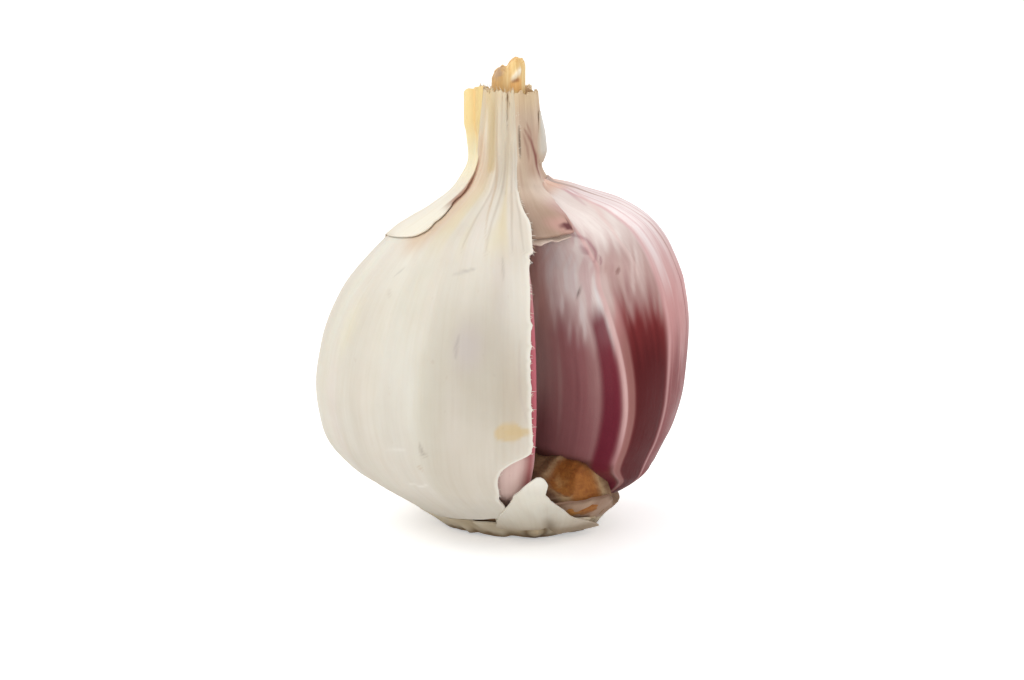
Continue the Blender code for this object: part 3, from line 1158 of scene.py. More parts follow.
        # Painted shade along the groove of one pleat.
        pleat_line = ((-21, 65), (-19.5, 58), (-13.5, 53.5), (-8, 47))
        paint.strokes(((190, 162, 130), pleat_line, 0.34, 0.6))
        specks = ramp(0.35, 0.8, Ripple(43)(azimuth / 1.6, z / 0.9))
        specks = specks * bump(-14, 12, 5, azimuth) * ramp(64.6, 66.4, z)
        paint.wash((150, 118, 84), 0.8 * specks)
        for turn in (5, -6, -17, 9.5):
            path = ((turn, 60), (turn + 0.8, 53), (turn - 0.6, 49), (turn - 1, 45))
            paint.strokes(((176, 160, 144), path, 0.36, 0.45))

    def build(self, workshop: Workshop) -> None:
        """Makes the leaf and the fibres along its torn edge and its ragged top.

        Args:
            workshop: Makes the pieces.
        """
        surface = self.surface()
        sizes = ReliefSizes(vein_spacing=1.0, vein_height=0.1, wrinkle_height=0.22, seed=1.0)
        workshop.skin("outer_skin", surface, PAPER, sizes, self.thickness)
        rng, count = np.random.default_rng(12), self.loose_fibres
        front, top = surface.points[20:, -1], surface.points[-1, ::3]
        feet = np.vstack([front[rng.integers(0, len(front), count)], top])
        edge_lean = rng.normal((0.9, -0.5, -0.3), 0.5, (count, 3))
        lean = np.vstack([edge_lean, rng.normal((0, 0, 1), 0.28, (len(top), 3))])
        edge_tone = surface.tone[20:, -1][rng.integers(0, len(front), count)]
        tone = np.vstack([edge_tone, surface.tone[-1, ::3]])
        workshop.fibres("outer_skin_fibres", feet, lean, tone, (0.6, 0.05), PAPER, Slot.OUTER_SKIN, 3)


@dataclass(frozen=True)
class TornLeaf(Skin):
    """The oldest leaf: a torn cape over the shoulder, drawn up into a curled strip beside the neck."""

    name: str = "torn_outer_leaf"
    finish: SkinFinish = CREAM
    sizes: ReliefSizes = ReliefSizes(0.9, vein_height=0.09, wrinkle_height=0.2, seed=2.0)
    thickness: float = 0.2
    hem: float = 31.0
    top: float = 68.2
    front: Path = (
        (30, -150), (38, -126), (43, -108), (45, -94), (45.9, -64), (46.6, -50),
        (47.6, -46), (49.4, -48.5), (51.2, -51), (54, -55), (57, -60), (60, -62),
        (64, -60), (70, -56),
    )
    back: Path = (
        (30, -156), (40, -190), (47, -198), (53, -160), (58, -132), (61, -126),
        (65, -140), (70, -146),
    )
    ribbon: Path = ((-150, 5.2), (-118, 5.8), (-90, 6.35), (-84, 6.45), (-78, 6.15), (-56, 4.5))
    columns: int = 96
    rows: int = 150

    def surface(self) -> Surface:
        """Shapes and paints the leaf.

        Returns:
            Its grid.
        """
        level = FORM.levels(self.rows, self.hem, self.top)[:, None]
        z = self.hem + level * (self.top - self.hem) + np.zeros((1, self.columns))
        share = np.linspace(1, 0, self.columns)[None, :]
        degree = FORM.radius(-60, z) * math.pi / 180
        wander = (0.35 * Ripple(51)(z / 1.6) + 0.2 * Ripple(52)(z / 0.5)) / degree
        front = SmoothCurve(self.front)(z) + wander * (1 - ramp(50, 56, z))
        back = SmoothCurve(self.back)(z) + 0.6 * wander
        azimuth = front + (back - front) * share
        ragged = 0.25 * Ripple(53)(azimuth / 7) - 0.9 * ramp(-66, -84, azimuth)
        z = z + ragged * level**8
        strip = ramp(54, 61, z)
        swell = OuterSkin().swell(azimuth, z)[0] * (1 - strip)
        hugged = FORM.inset(azimuth, z, -0.26 - 0.05 * Ripple(54)(azimuth / 14, z / 6) - swell)
        notch = 0.35 * ramp(60.6, 62.6, z) * (azimuth < -64)
        fold = np.interp(azimuth, *np.array(self.ribbon).T) + notch
        crease = 0.3 * bell(-70, 3, azimuth)
        paint = Paint((234, 227, 214), azimuth, z)
        paint.washes(
            ((224, 213, 196), 0.3 + 0.6 * Ripple(55)(azimuth / 11, z / 7)),
            ((238, 231, 215), bump(45, 50, 2, z) * ramp(-80, -60, azimuth)),
            ((240, 226, 184), 0.8 * ramp(51, 58, z)),
            # The strip's yellow is its own colour, made brighter as painted light shining through the thin
            # leaf.
            ((248, 218, 152), 0.9 * ramp(57.5, 64, z + 1.2 * Ripple(57)(azimuth / 5))),
            ((232, 212, 160), 0.7 * ramp(61, 66, z) * ramp(-76, -84, azimuth)),
        )
        fine = Ripple(56)(azimuth / 3, z / 20)
        paint.washes(
            ((226, 184, 120), 0.5 * strip * ramp(0.2, 0.9, fine)),
            ((238, 188, 116), 0.5 * ramp(59, 62, z) * bump(-71, -66, 3, azimuth)),
            # Painted shade: a dark brownish-red band along the leaf's front edge, in the gap between the
            # strip and the neck.
            ((150, 96, 72), 0.8 * bump(50.5, 57.5, 1, z) * ramp(-58, -54, azimuth)),
        )
        return Surface.leaf(paint, hugged + (fold - crease - hugged) * strip, 0.5 + 0.4 * strip)


@dataclass(frozen=True)
class InnerSheath:
    """The leaf round the stalk, whose torn hem flares over the open seat and the bared cloves."""

    thickness: float = 0.3
    lip_thickness: float = 0.25
    lip_edges: tuple[float, float] = (8, 46)
    lip_foot: float = 46.2
    lip_height: float = 2.2
    lip_depth: float = 2.2
    tube_radius: float = 3.3
    top: float = 67.5
    hem: Path = (
        (-180, 54), (0, 53), (8, 47.8), (12, 47), (26, 47.4), (32.5, 47.9), (34.5, 49.2),
        (38, 51), (42, 52.2), (48, 53.3), (60, 54), (122, 54.4), (180, 54),
    )
    columns: int = 220
    rows: int = 100

    def surface(self) -> Surface:
        """Shapes and paints the leaf.

        Returns:
            Its grid.
        """
        azimuth = around(self.columns)
        level = upwards(self.rows) ** 1.5
        frayed = 0.25 * Ripple(61)(azimuth / 5) + 0.12 * Ripple(62)(azimuth / 1.7)
        low = SmoothCurve(self.hem)(azimuth) + frayed
        nicks = ramp(0.3, 0.9, Ripple(64)(azimuth / 5))
        top = self.top + 0.3 * Ripple(63)(azimuth / 9) - 0.5 * nicks
        azimuth, z = np.broadcast_arrays(azimuth, low + level * (top - low))
        opened = ramp(-4, 9, azimuth) * (1 - ramp(112, 132, azimuth))
        sunk = 0.2 + 1.3 * ramp(53, 47.5, z) * (1 - ramp(20, 34, azimuth))
        pleat = Ripple(65)(azimuth / 8, z / 30)
        sunk = sunk - 0.18 * pleat * ramp(50, 54, z)
        sunk = sunk + 0.6 * bump(54, 140, 8, azimuth) * ramp(58.5, 55.5, z)
        flared = FORM.inset(azimuth, z, sunk)
        radius = self.tube_radius + (flared - self.tube_radius) * opened
        paint = Paint((206, 184, 160), azimuth, z)
        paint.washes(
            # Painted highlight on the pleats' crests and painted shade in their grooves.
            ((222, 202, 178), 0.7 * ramp(0, 0.8, pleat)),
            ((184, 154, 132), 0.5 * ramp(0.1, 0.9, -pleat)),
        )
        fine = Ripple(66)(azimuth / 2.4, z / 14)
        paint.washes(
            ((166, 124, 106), 0.5 * ramp(0.3, 0.9, fine)),
            ((166, 140, 124), 0.75 * ramp(54.5, 51, z)),
        )
        grime = Ripple(67)(azimuth / 3.5, z / 3)
        paint.washes(
            ((150, 122, 104), 0.5 * ramp(0.2, 0.9, grime) * ramp(56, 52, z)),
            ((230, 206, 162), 0.6 * ramp(63, 67, z)),
            ((196, 164, 146), 0.5 * bump(30, 80, 10, azimuth) * ramp(64, 60, z)),
        )
        crimson = ((28, 62), (42, 60), (50, 57.8), (53, 55.4), (50, 54))
        paint.strokes(
            ((96, 76, 62), ((17.6, 62.6), (18.2, 60), (18.8, 57.4)), 0.3, 0.9),
            ((134, 72, 62), crimson, 0.55, 0.95),
            ((134, 72, 62), ((25, 61.4), (33, 59.2), (35, 57)), 0.45, 0.45),
            ((134, 72, 62), ((33, 63), (44, 60.6)), 0.25, 0.6),
            ((134, 72, 62), ((44, 53.8), (40, 52.4)), 0.35, 0.6),
            ((168, 128, 108), ((17, 57), (18, 53), (16, 50)), 0.6, 0.5),
        )
        paint.spots(
            ((156, 126, 106), (21, 49.5), (5, 2.2), 0.55, 0.9),
            ((234, 218, 202), (42, 53), (1.6, 1.5), 0.8, 0.7),
            ((226, 208, 198), (43, 52), (2.4, 1.1), 0.7, 0.8),
            ((190, 142, 146), (38.5, 50.8), (1.7, 0.9), 0.6, 0.8),
            ((214, 196, 176), (24, 52.5), (3, 1.6), 0.5, 0.9),
            ((206, 160, 152), (33, 48.7), (2.6, 1.1), 0.7, 0.5),
            ((92, 26, 34), (32, 48.6), (0.9, 0.45), 0.95, 0.3, 0.2),
        )
        return Surface.leaf(paint, radius, 0.5, closed=True)

    def lip(self) -> Surface:
        """Shapes and paints the second, shorter layer under the hem.

        Returns:
            Its grid.
        """
        azimuth = np.linspace(*self.lip_edges, 90)[None, :]
        level = upwards(14)
        low = self.lip_foot + 0.95 * ramp(12, 42, azimuth) + 0.16 * Ripple(71)(azimuth / 3)
        azimuth, z = np.broadcast_arrays(azimuth, low + level * self.lip_height)
        paint = Paint((208, 186, 170), azimuth, z)
        paint.washes(
            ((226, 210, 196), 1 - ramp(0, 0.22, level)),
            ((150, 96, 92), 0.8 * ramp(0.35, 0.7, level)),
        )
        return Surface.leaf(paint, FORM.inset(azimuth, z, self.lip_depth), 0.3)

    def build(self, workshop: Workshop) -> None:
        """Makes the sheath and its lip.

        Args:
            workshop: Makes the pieces.
        """
        sizes = ReliefSizes(vein_spacing=0.9, vein_height=0.07, wrinkle_height=0.3, seed=3.0)
        workshop.skin("inner_sheath", self.surface(), SHEATH, sizes, self.thickness)
        workshop.skin("inner_sheath_lip", self.lip(), SHEATH, sizes, self.lip_thickness, packed=False)


@dataclass(frozen=True)
class Clove:
    """One clove: flanks towards its neighbours, and a back of two facets with a keel between."""

    name: str
    azimuth: float
    top: float
    bottom: float = 6.0
    half_angle: float = 18.16
    keel_depth: float = 0.5
    near_recess: Path = ((0, 0.9), (60, 0.9))
    far_recess: Path = ((0, 0.9), (60, 0.9))
    opens_seat: bool = False
    shows_corner: bool = False
    bulge: float = 0.5
    lean: float = 0.0
    foot_cut: float = 0.0
    stalk_gap: float = 4.6
    bared: bool = False
    rows: int = 60
    flank_columns: int = 24
    facet_columns: int = 14

    def corners(self, z: Array, narrow: Array) -> list[Array]:
        """Lays out the corners of the cross-sections.

        Args:
            z: Heights.
            narrow: How wide the clove is at each, from 0 at its ends to 1.

        Returns:
            The inner and outer corner of the near flank, the keel, and the far flank's two corners.
        """
        shoulder = 0 if self.bared else 0.9 * ramp(40, 48, z)
        dome = np.interp(z, (5.4, 7.2, 9.2, 10.7, 11.2), (13.4, 12, 9.4, 6.4, 3.4), right=0)
        inner = np.maximum(self.stalk_gap, dome + 0.6)
        far = self.half_angle * (0.06 + 0.94 * narrow)
        near = far + self.lean * ramp(41, 46, z) * narrow
        near = near * (1 - self.foot_cut * ramp(12, 7.5, z))
        keel_r = FORM.inset(self.azimuth, z, self.keel_depth + shoulder)
        near_r = FORM.inset(self.azimuth - near, z, SmoothCurve(self.near_recess)(z) + shoulder)
        far_r = FORM.inset(self.azimuth + far, z, SmoothCurve(self.far_recess)(z) + shoulder)
        middle, depth = (inner + keel_r) / 2, 0.05 + 0.95 * self.rounded((z - self.bottom) / 4)
        inner, keel_r, near_r, far_r = (middle + (r - middle) * depth for r in (inner, keel_r, near_r, far_r))
        ends = ((-near, inner), (-near, near_r), (np.zeros_like(far), keel_r), (far, far_r), (far, inner))
        return [self.flat(turn, radius) for turn, radius in ends]

    def rounded(self, share: Array) -> Array:
        """Rounds off an end: rises from 0 at the end to 1, level there."""
        return np.sqrt(1 - (1 - np.clip(share, 0, 1)) ** 2.2)

    def outline(self, z: Array, narrow: Array) -> tuple[Array, Array]:
        """Draws the cross-sections, with swollen sides and soft corners.

        Args:
            z: Heights.
            narrow: How wide the clove is at each, from 0 at its ends to 1.

        Returns:
            Points on a plane in rows and columns, and which side each column is on.
        """
        local = self.corners(z, narrow)
        counts = (self.flank_columns, self.facet_columns, self.facet_columns, self.flank_columns, 6)
        swells = (self.bulge, 0.35, 0.35, self.bulge, 0)
        sides, parts = [], []
        for side, (count, swell) in enumerate(zip(counts, swells)):
            t = (np.arange(count) / count)[None, :, None]
            start, end = local[side], local[(side + 1) % len(local)]
            along = end - start
            out = np.stack([along[:, 1], -along[:, 0]], axis=-1)
            out = out / (np.linalg.norm(out, axis=-1, keepdims=True) + 1e-6)
            line = start[:, None] * (1 - t) + end[:, None] * t
            sides.append(line - out[:, None] * (swell * narrow)[:, None] * np.sin(math.pi * t))
            parts.append(side + np.arange(count) / count)
        points = np.concatenate(sides, axis=1)
        for _ in range(3):
            points = 0.25 * np.roll(points, 1, axis=1) + 0.5 * points + 0.25 * np.roll(points, -1, axis=1)
        return points, np.concatenate(parts)

    def surface(self, seed: int) -> Surface:
        """Shapes and paints the clove.

        Args:
            seed: Picks its streaks.

        Returns:
            Its grid.
        """
        level = FORM.levels(self.rows, self.bottom, self.top)[:, None]
        z = self.bottom + level * (self.top - self.bottom)
        narrow = self.rounded((z - self.bottom) / 9) * self.rounded((self.top - z) / 6)
        outline, part = self.outline(z, narrow)
        radius = np.hypot(outline[..., 0], outline[..., 1])
        azimuth = self.azimuth + np.degrees(np.arctan2(outline[..., 0], outline[..., 1]))
        z, part = np.broadcast_to(z, radius.shape), np.broadcast_to(part, radius.shape)
        step = np.linalg.norm(np.diff(outline, axis=1, prepend=outline[:, :1]), axis=-1)
        widest = np.broadcast_to(np.cumsum(step, axis=1)[self.rows // 2], radius.shape)
        flow = np.stack([widest, np.full(radius.shape, 17 * seed), FORM.run(z)], axis=-1)
        tone = self.painted(azimuth, z, part, radius, seed)
        relief = 0.35 + 0.65 * ramp(36, 46, z)
        if self.bared:
            raised = ramp(39, 47, z) * ramp(54.4, 51.6, z)
            z = z + raised * bump(56, 118, 5, azimuth)
        return Surface(FORM.place(azimuth, radius, z), tone, flow, relief, closed=True, poles=True)

    def flat(self, turn: Array, radius: Array) -> Array:
        """Points of the cross-section on a plane, with the clove's azimuth along the second axis.

        Args:
            turn: Azimuths from the clove's own.
            radius: Radii.

        Returns:
            Points in a last axis of two.
        """
        angle = np.radians(turn[:, 0])
        return np.stack([radius[:, 0] * np.sin(angle), radius[:, 0] * np.cos(angle)], axis=-1)

    def painted(self, azimuth: Array, z: Array, part: Array, radius: Array, seed: int) -> Array:
        """Paints the clove.

        Args:
            azimuth: The grid's azimuths.
            z: The grid's heights.
            part: Which side each column is on: 0 near flank, 1 and 2 the back's facets, 3 far flank.
            radius: The grid's radii.
            seed: Picks its streaks.

        Returns:
            Linear colours.
        """
        paint = Paint((170, 112, 112), azimuth, z)
        broad = Ripple(100 + seed)(part * 5, z / 15)
        streak = Ripple(90 + seed)(part * 17, z / 24)
        height = z + 3 * broad + 1.2 * streak
        flank = 1 - ramp(0.8, 1, np.abs(part - 0.5) * 2 / 1.15)
        far_flank = 1 - ramp(0.8, 1, np.abs(part - 3.5) * 2 / 1.15)
        back = np.clip(1 - flank - far_flank, 0, 1)
        paint.washes(
            ((134, 50, 52), back * ramp(36, 26, height)),
            ((204, 146, 144), back * ramp(24, 38, height)),
            ((226, 196, 194), back * ramp(36, 45, height)),
            ((243, 229, 228), back * ramp(41, 48, height)),
        )
        milk = Ripple(140 + seed)(part * 9, z / 10)
        paint.washes(
            ((246, 236, 234), 0.6 * back * ramp(34, 44, height) * ramp(0.1, 0.8, milk)),
            ((192, 122, 124), 0.4 * back * ramp(0.2, 0.9, streak)),
        )
        ridge = bell(1, 0.05, part) + bell(2, 0.06, part) + bell(3, 0.05, part)
        paint.washes(
            ((222, 178, 176), 0.6 * ridge),
            ((176, 124, 126), flank),
            ((206, 178, 172), 0.45 * flank * ramp(0.25, 0.9, streak)),
            ((136, 84, 90), 0.45 * flank * ramp(0.2, 0.9, -streak)),
            ((150, 98, 102), 0.5 * flank * ramp(30, 14, z)),
            ((216, 200, 190), 0.9 * flank * ramp(37, 43, height)),
            ((196, 160, 154), 0.6 * flank * ramp(13, 9, z)),
        )
        if self.bared:
            paint.wash((240, 206, 184), 0.75 * back * ramp(51.4, 53.2, z + 0.5 * milk))
        if self.opens_seat:
            self.paint_wall(paint, part, radius, flank, streak)
        if self.shows_corner:
            paint.wash((224, 196, 188), ramp(17.5, 15.5, z) * ramp(2.98, 2.7, part))
            edge = bump(2.86, 3.25, 0.06, part) * ramp(15.5, 17.5, z) * ramp(44, 34, z)
            paint.wash((196, 104, 116), 0.9 * edge)
        return paint.tone

    def paint_wall(self, paint: Paint, part: Array, radius: Array, flank: Array, streak: Array) -> None:
        """Paints the flank that stands open to the empty seat, and the facet beside it.

        Args:
            paint: The painted grid.
            part: Which side each column is on.
            radius: The grid's radii.
            flank: Where the near flank is.
            streak: The clove's streaks, from -1 to 1.
        """
        azimuth, z = paint.azimuth, paint.z
        cloud = Ripple(120)(radius / 2.4 + azimuth / 3, z / 7)
        cloud = cloud + 0.7 * Ripple(121)(radius + azimuth / 1.3, z / 3.6)
        vein = Ripple(125)(azimuth / 1.1, z / 26)
        # Painted light: the wall's left, deep in the seat, is made paler to lift the shade that falls there.
        paint.wash((222, 196, 190), 0.8 * flank * ramp(0.5, 0.12, part) * ramp(16, 26, z))
        # The wall's top is the clove's pale tip, painted whiter still as painted light against the hem's
        # shade.
        high = ramp(30, 40.5, z + 1.6 * cloud + 2.4 * streak + 4 * (part - 0.5))
        paint.washes(
            ((252, 243, 238), flank * high),
            ((255, 253, 250), 0.9 * flank * high * ramp(0, 0.8, cloud)),
            ((226, 190, 190), 0.5 * flank * high * ramp(0.1, 0.9, -cloud)),
            ((240, 196, 184), 0.75 * flank * ramp(0.48, 0.22, part) * ramp(28, 38, z)),
            # Painted shadow where the wall's foot meets the pad.
            ((100, 58, 48), 0.8 * flank * ramp(13.4, 12.2, z)),
        )
        plum = bump(0.80, 0.96, 0.035, part) * ramp(38.5, 35, z + 2 * streak)
        paint.washes(
            ((130, 46, 62), 0.9 * plum),
            ((112, 36, 56), 0.6 * plum * ramp(33, 18, z)),
        )
        facet = bump(1.04, 1.94, 0.03, part)
        paint.washes(
            ((200, 170, 164), facet * ramp(32, 40, z + 2 * cloud)),
            ((224, 204, 198), 0.6 * facet * ramp(0.1, 0.8, cloud) * ramp(34, 40, z)),
            ((196, 160, 158), 0.4 * facet * ramp(0.1, 0.9, -cloud) * ramp(34, 40, z)),
            ((242, 232, 226), 0.9 * facet * ramp(43, 48.5, z + 1.5 * cloud)),
        )
        dark = bump(1.2, 1.95, 0.08, part) * ramp(42.5, 33, z + 1.5 * vein + 1.2 * cloud)
        paint.washes(
            ((122, 34, 36), 0.97 * dark),
            ((84, 10, 16), 0.9 * dark * ramp(37, 27, z + 2 * vein)),
            ((160, 112, 106), 0.8 * bump(1.04, 1.2, 0.03, part) * ramp(38, 30, z)),
        )
        pale = bump(0.975, 1.04, 0.02, part) * ramp(12, 22, z)
        paint.wash((222, 184, 180), 0.85 * pale)
        paint.strokes(
            ((198, 150, 158), ((76, 53.2), (66, 51.6), (59, 50.4)), 0.4, 0.5),
            ((198, 150, 158), ((68, 52.6), (60, 51.6), (56, 50.2)), 0.4, 0.5),
        )
        paint.spots(((238, 196, 170), (66, 53), (5, 0.9), 0.7, 0.6))
        # Painted shade in the crumpled folds at the wall's upper corner.
        paint.strokes(
            ((158, 98, 112), ((34, 47.6), (38, 46.8), (39.5, 45), (39, 43.4)), 0.55, 0.6),
            ((150, 90, 104), ((35.5, 46), (36.8, 44.6)), 0.4, 0.5),
            ((146, 84, 98), ((41, 44.6), (41.6, 43)), 0.4, 0.6),
        )
        nick = bell(17.8 + 0.35 * (z - 38.4), 0.22, radius) * bell(38.4, 0.8, z)
        paint.wash((96, 72, 68), 0.8 * flank * nick)
        paint.spots(((140, 100, 94), (48.5, 42), (0.3, 0.55), 0.7, 0.5))
        seam = ((74, 52), (60, 50.5), (55, 49), (52, 46.2), (55, 41))
        paint.strokes(((236, 210, 204), seam, 0.55, 0.6))

    def build(self, workshop: Workshop, seed: int) -> None:
        """Makes the clove.

        Args:
            workshop: Makes the piece.
            seed: Picks its streaks and wrinkles.
        """
        sizes = ReliefSizes(1.8, 0.05, 26.0, wrinkle_spacing=3.6, wrinkle_height=0.3, seed=float(seed))
        workshop.skin(self.name, self.surface(seed), CLOVE, sizes)


@dataclass(frozen=True)
class CloveRing:
    """The ring of cloves round the stalk, with one seat empty."""

    count: int = 9
    top: float = 50.6
    top_swing: float = 0.9
    bared_top: float = 54.2
    bared: tuple[int, ...] = (1, 2, 3)
    covered: Path = ((0, 1.5), (60, 1.5))
    bared_recess: Path = ((0, 0.9), (26, 0.85), (38, 0.56), (46, 0.46), (60, 0.46))
    first_recess: Path = (
        (0, 1.6), (16, 1.2), (20, 1.3), (24, 1.7), (27, 2.3), (30, 3.2), (33, 4.1),
        (36.8, 5), (39, 5.4), (41, 4.8), (43.5, 2.6), (46, 1.2), (50, 0.8), (60, 0.8),
    )

    def cloves(self) -> list[Clove]:
        """Lists the cloves with their places.

        Returns:
            The cloves, from the empty seat on.
        """
        found = []
        for number in range(1, self.count + 1):
            azimuth = FORM.seat_start + FORM.seat_angle * (number - 0.5)
            sizes: dict[str, object] = {"top": self.top + self.top_swing * math.sin(math.radians(azimuth))}
            sizes |= {"keel_depth": 1.35, "near_recess": self.covered, "far_recess": self.covered}
            if number in self.bared:
                sizes = {"top": self.bared_top, "bared": True, "rows": 150, "half_angle": 18.32}
                sizes |= {"near_recess": self.bared_recess, "far_recess": self.bared_recess}
                sizes |= {"flank_columns": 60, "facet_columns": 34}
            if number == 1:
                sizes |= {"near_recess": self.first_recess, "bulge": 0.9, "lean": 6, "opens_seat": True}
                sizes |= {"foot_cut": 0.5}
            if number == self.count:
                sizes |= {"rows": 120, "flank_columns": 50, "facet_columns": 24, "shows_corner": True}
                sizes |= {"far_recess": ((0, 0.95), (60, 0.95))}
            found.append(Clove(f"clove_{number}", azimuth, **sizes))
        return found

    def build(self, workshop: Workshop) -> None:
        """Makes the cloves with the workshop."""
        for seed, clove in enumerate(self.cloves()):
            clove.build(workshop, seed)


@dataclass(frozen=True)
class BasalPlate(Skin):
    """The trimmed disc that everything grows from, with the scar of the missing clove."""

    name: str = "basal_plate"
    finish: SkinFinish = CORK
    sizes: ReliefSizes = ReliefSizes(1.4, 0.25, 1.0, 3.0, 0.4, 1.0, seed=5.0)
    outline: Path = (
        (0.05, 0), (4, 0), (8, 0), (9.6, 1.1), (11.6, 1.7), (13.6, 2.2), (14.6, 2.9),
        (15.5, 3.6), (14.6, 5), (13.2, 6.4), (11.6, 8), (9, 9.8), (6.2, 10.9), (3.4, 11.4),
        (0.05, 11.5),
    )
    pad_outline: Path = (
        (0.05, 0), (4, 0), (8, 0), (9.6, 1.1), (11.6, 1.7), (13.6, 2.2), (15.8, 3.7),
        (17.5, 5), (19.2, 6.8), (19.5, 7.8), (17.4, 8.9), (13.6, 10.2), (8.6, 11.4), (3.4, 12),
        (0.05, 12.1),
    )
    pad_edges: tuple[float, float] = (10, 54)
    scar_azimuth: float = 33.5
    scar_radius: float = 17.4
    scar_size: tuple[float, float] = (4.1, 3.4)

    def surface(self) -> Surface:
        """Shapes and paints the plate.

        Returns:
            Its grid.
        """
        steps = np.linspace(0, len(self.outline) - 1, 110)
        knots = np.arange(len(self.outline))
        plain, padded = np.array(self.outline), np.array(self.pad_outline)
        azimuth = around(200)
        pad = bump(*self.pad_edges, 3, azimuth)
        radius, z = (
            np.interp(steps, knots, plain[:, axis])[:, None] * (1 - pad)
            + np.interp(steps, knots, padded[:, axis])[:, None] * pad
            for axis in (0, 1)
        )
        top_face = ramp(8.4, 9.2, steps)[:, None]
        z = z + pad * top_face * ramp(25, 40, azimuth) * np.interp(radius, (9, 19), (0.4, 4.6))
        azimuth, z = np.broadcast_arrays(azimuth, z)
        x, y = radius * np.sin(np.radians(azimuth)), radius * np.cos(np.radians(azimuth))
        turn = math.radians(self.scar_azimuth)
        wide, deep = self.scar_size
        from_scar = x - self.scar_radius * math.sin(turn), y - self.scar_radius * math.cos(turn)
        away = np.hypot(from_scar[0] / wide, from_scar[1] / deep)
        over = ramp(3.4, 5.4, z)
        scar = (1 - ramp(0.75, 1.1, away + 0.1 * Ripple(111)(x, y))) * over
        rim = bell(1.05, 0.14, away) * over
        z = z - 0.35 * scar + 0.12 * rim + 0.15 * Ripple(112)(x / 1.3, y / 1.3) * over
        paint = Paint((140, 108, 78), azimuth, z)
        paint.washes(
            ((168, 136, 100), 0.5 + 0.5 * Ripple(113)(x / 1.1, y / 1.1)),
            ((96, 62, 40), 0.5 * Ripple(114)(x / 2, y / 2)),
            ((168, 106, 40), 0.95 * scar),
            ((202, 146, 70), scar * ramp(-0.2, 0.9, Ripple(115)(x / 2.6, y / 1.8))),
            ((216, 178, 120), 0.6 * scar * ramp(0.3, 0.9, Ripple(116)(x / 1.5, y / 1.5))),
            ((170, 104, 40), 0.7 * scar * ramp(9, 12.5, x)),
        )
        shade = ramp(37, 41, azimuth) * ramp(10.8, 12.2, z)
        paint.washes(
            ((88, 56, 36), 0.85 * pad * shade),
            ((204, 176, 134), 0.8 * rim),
            # Painted shade on the pad's left end, where it runs in under the flap and the next clove.
            ((84, 56, 40), 0.7 * pad * ramp(25, 16, azimuth) * over),
            ((128, 104, 80), ramp(3.5, 1, z)),
        )
        points, flow = FORM.place(azimuth, radius, np.maximum(z, 0)), np.stack([x, y, z], axis=-1)
        return Surface(points, paint.tone, flow, ramp(0.3, 1.2, z), closed=True, poles=True)


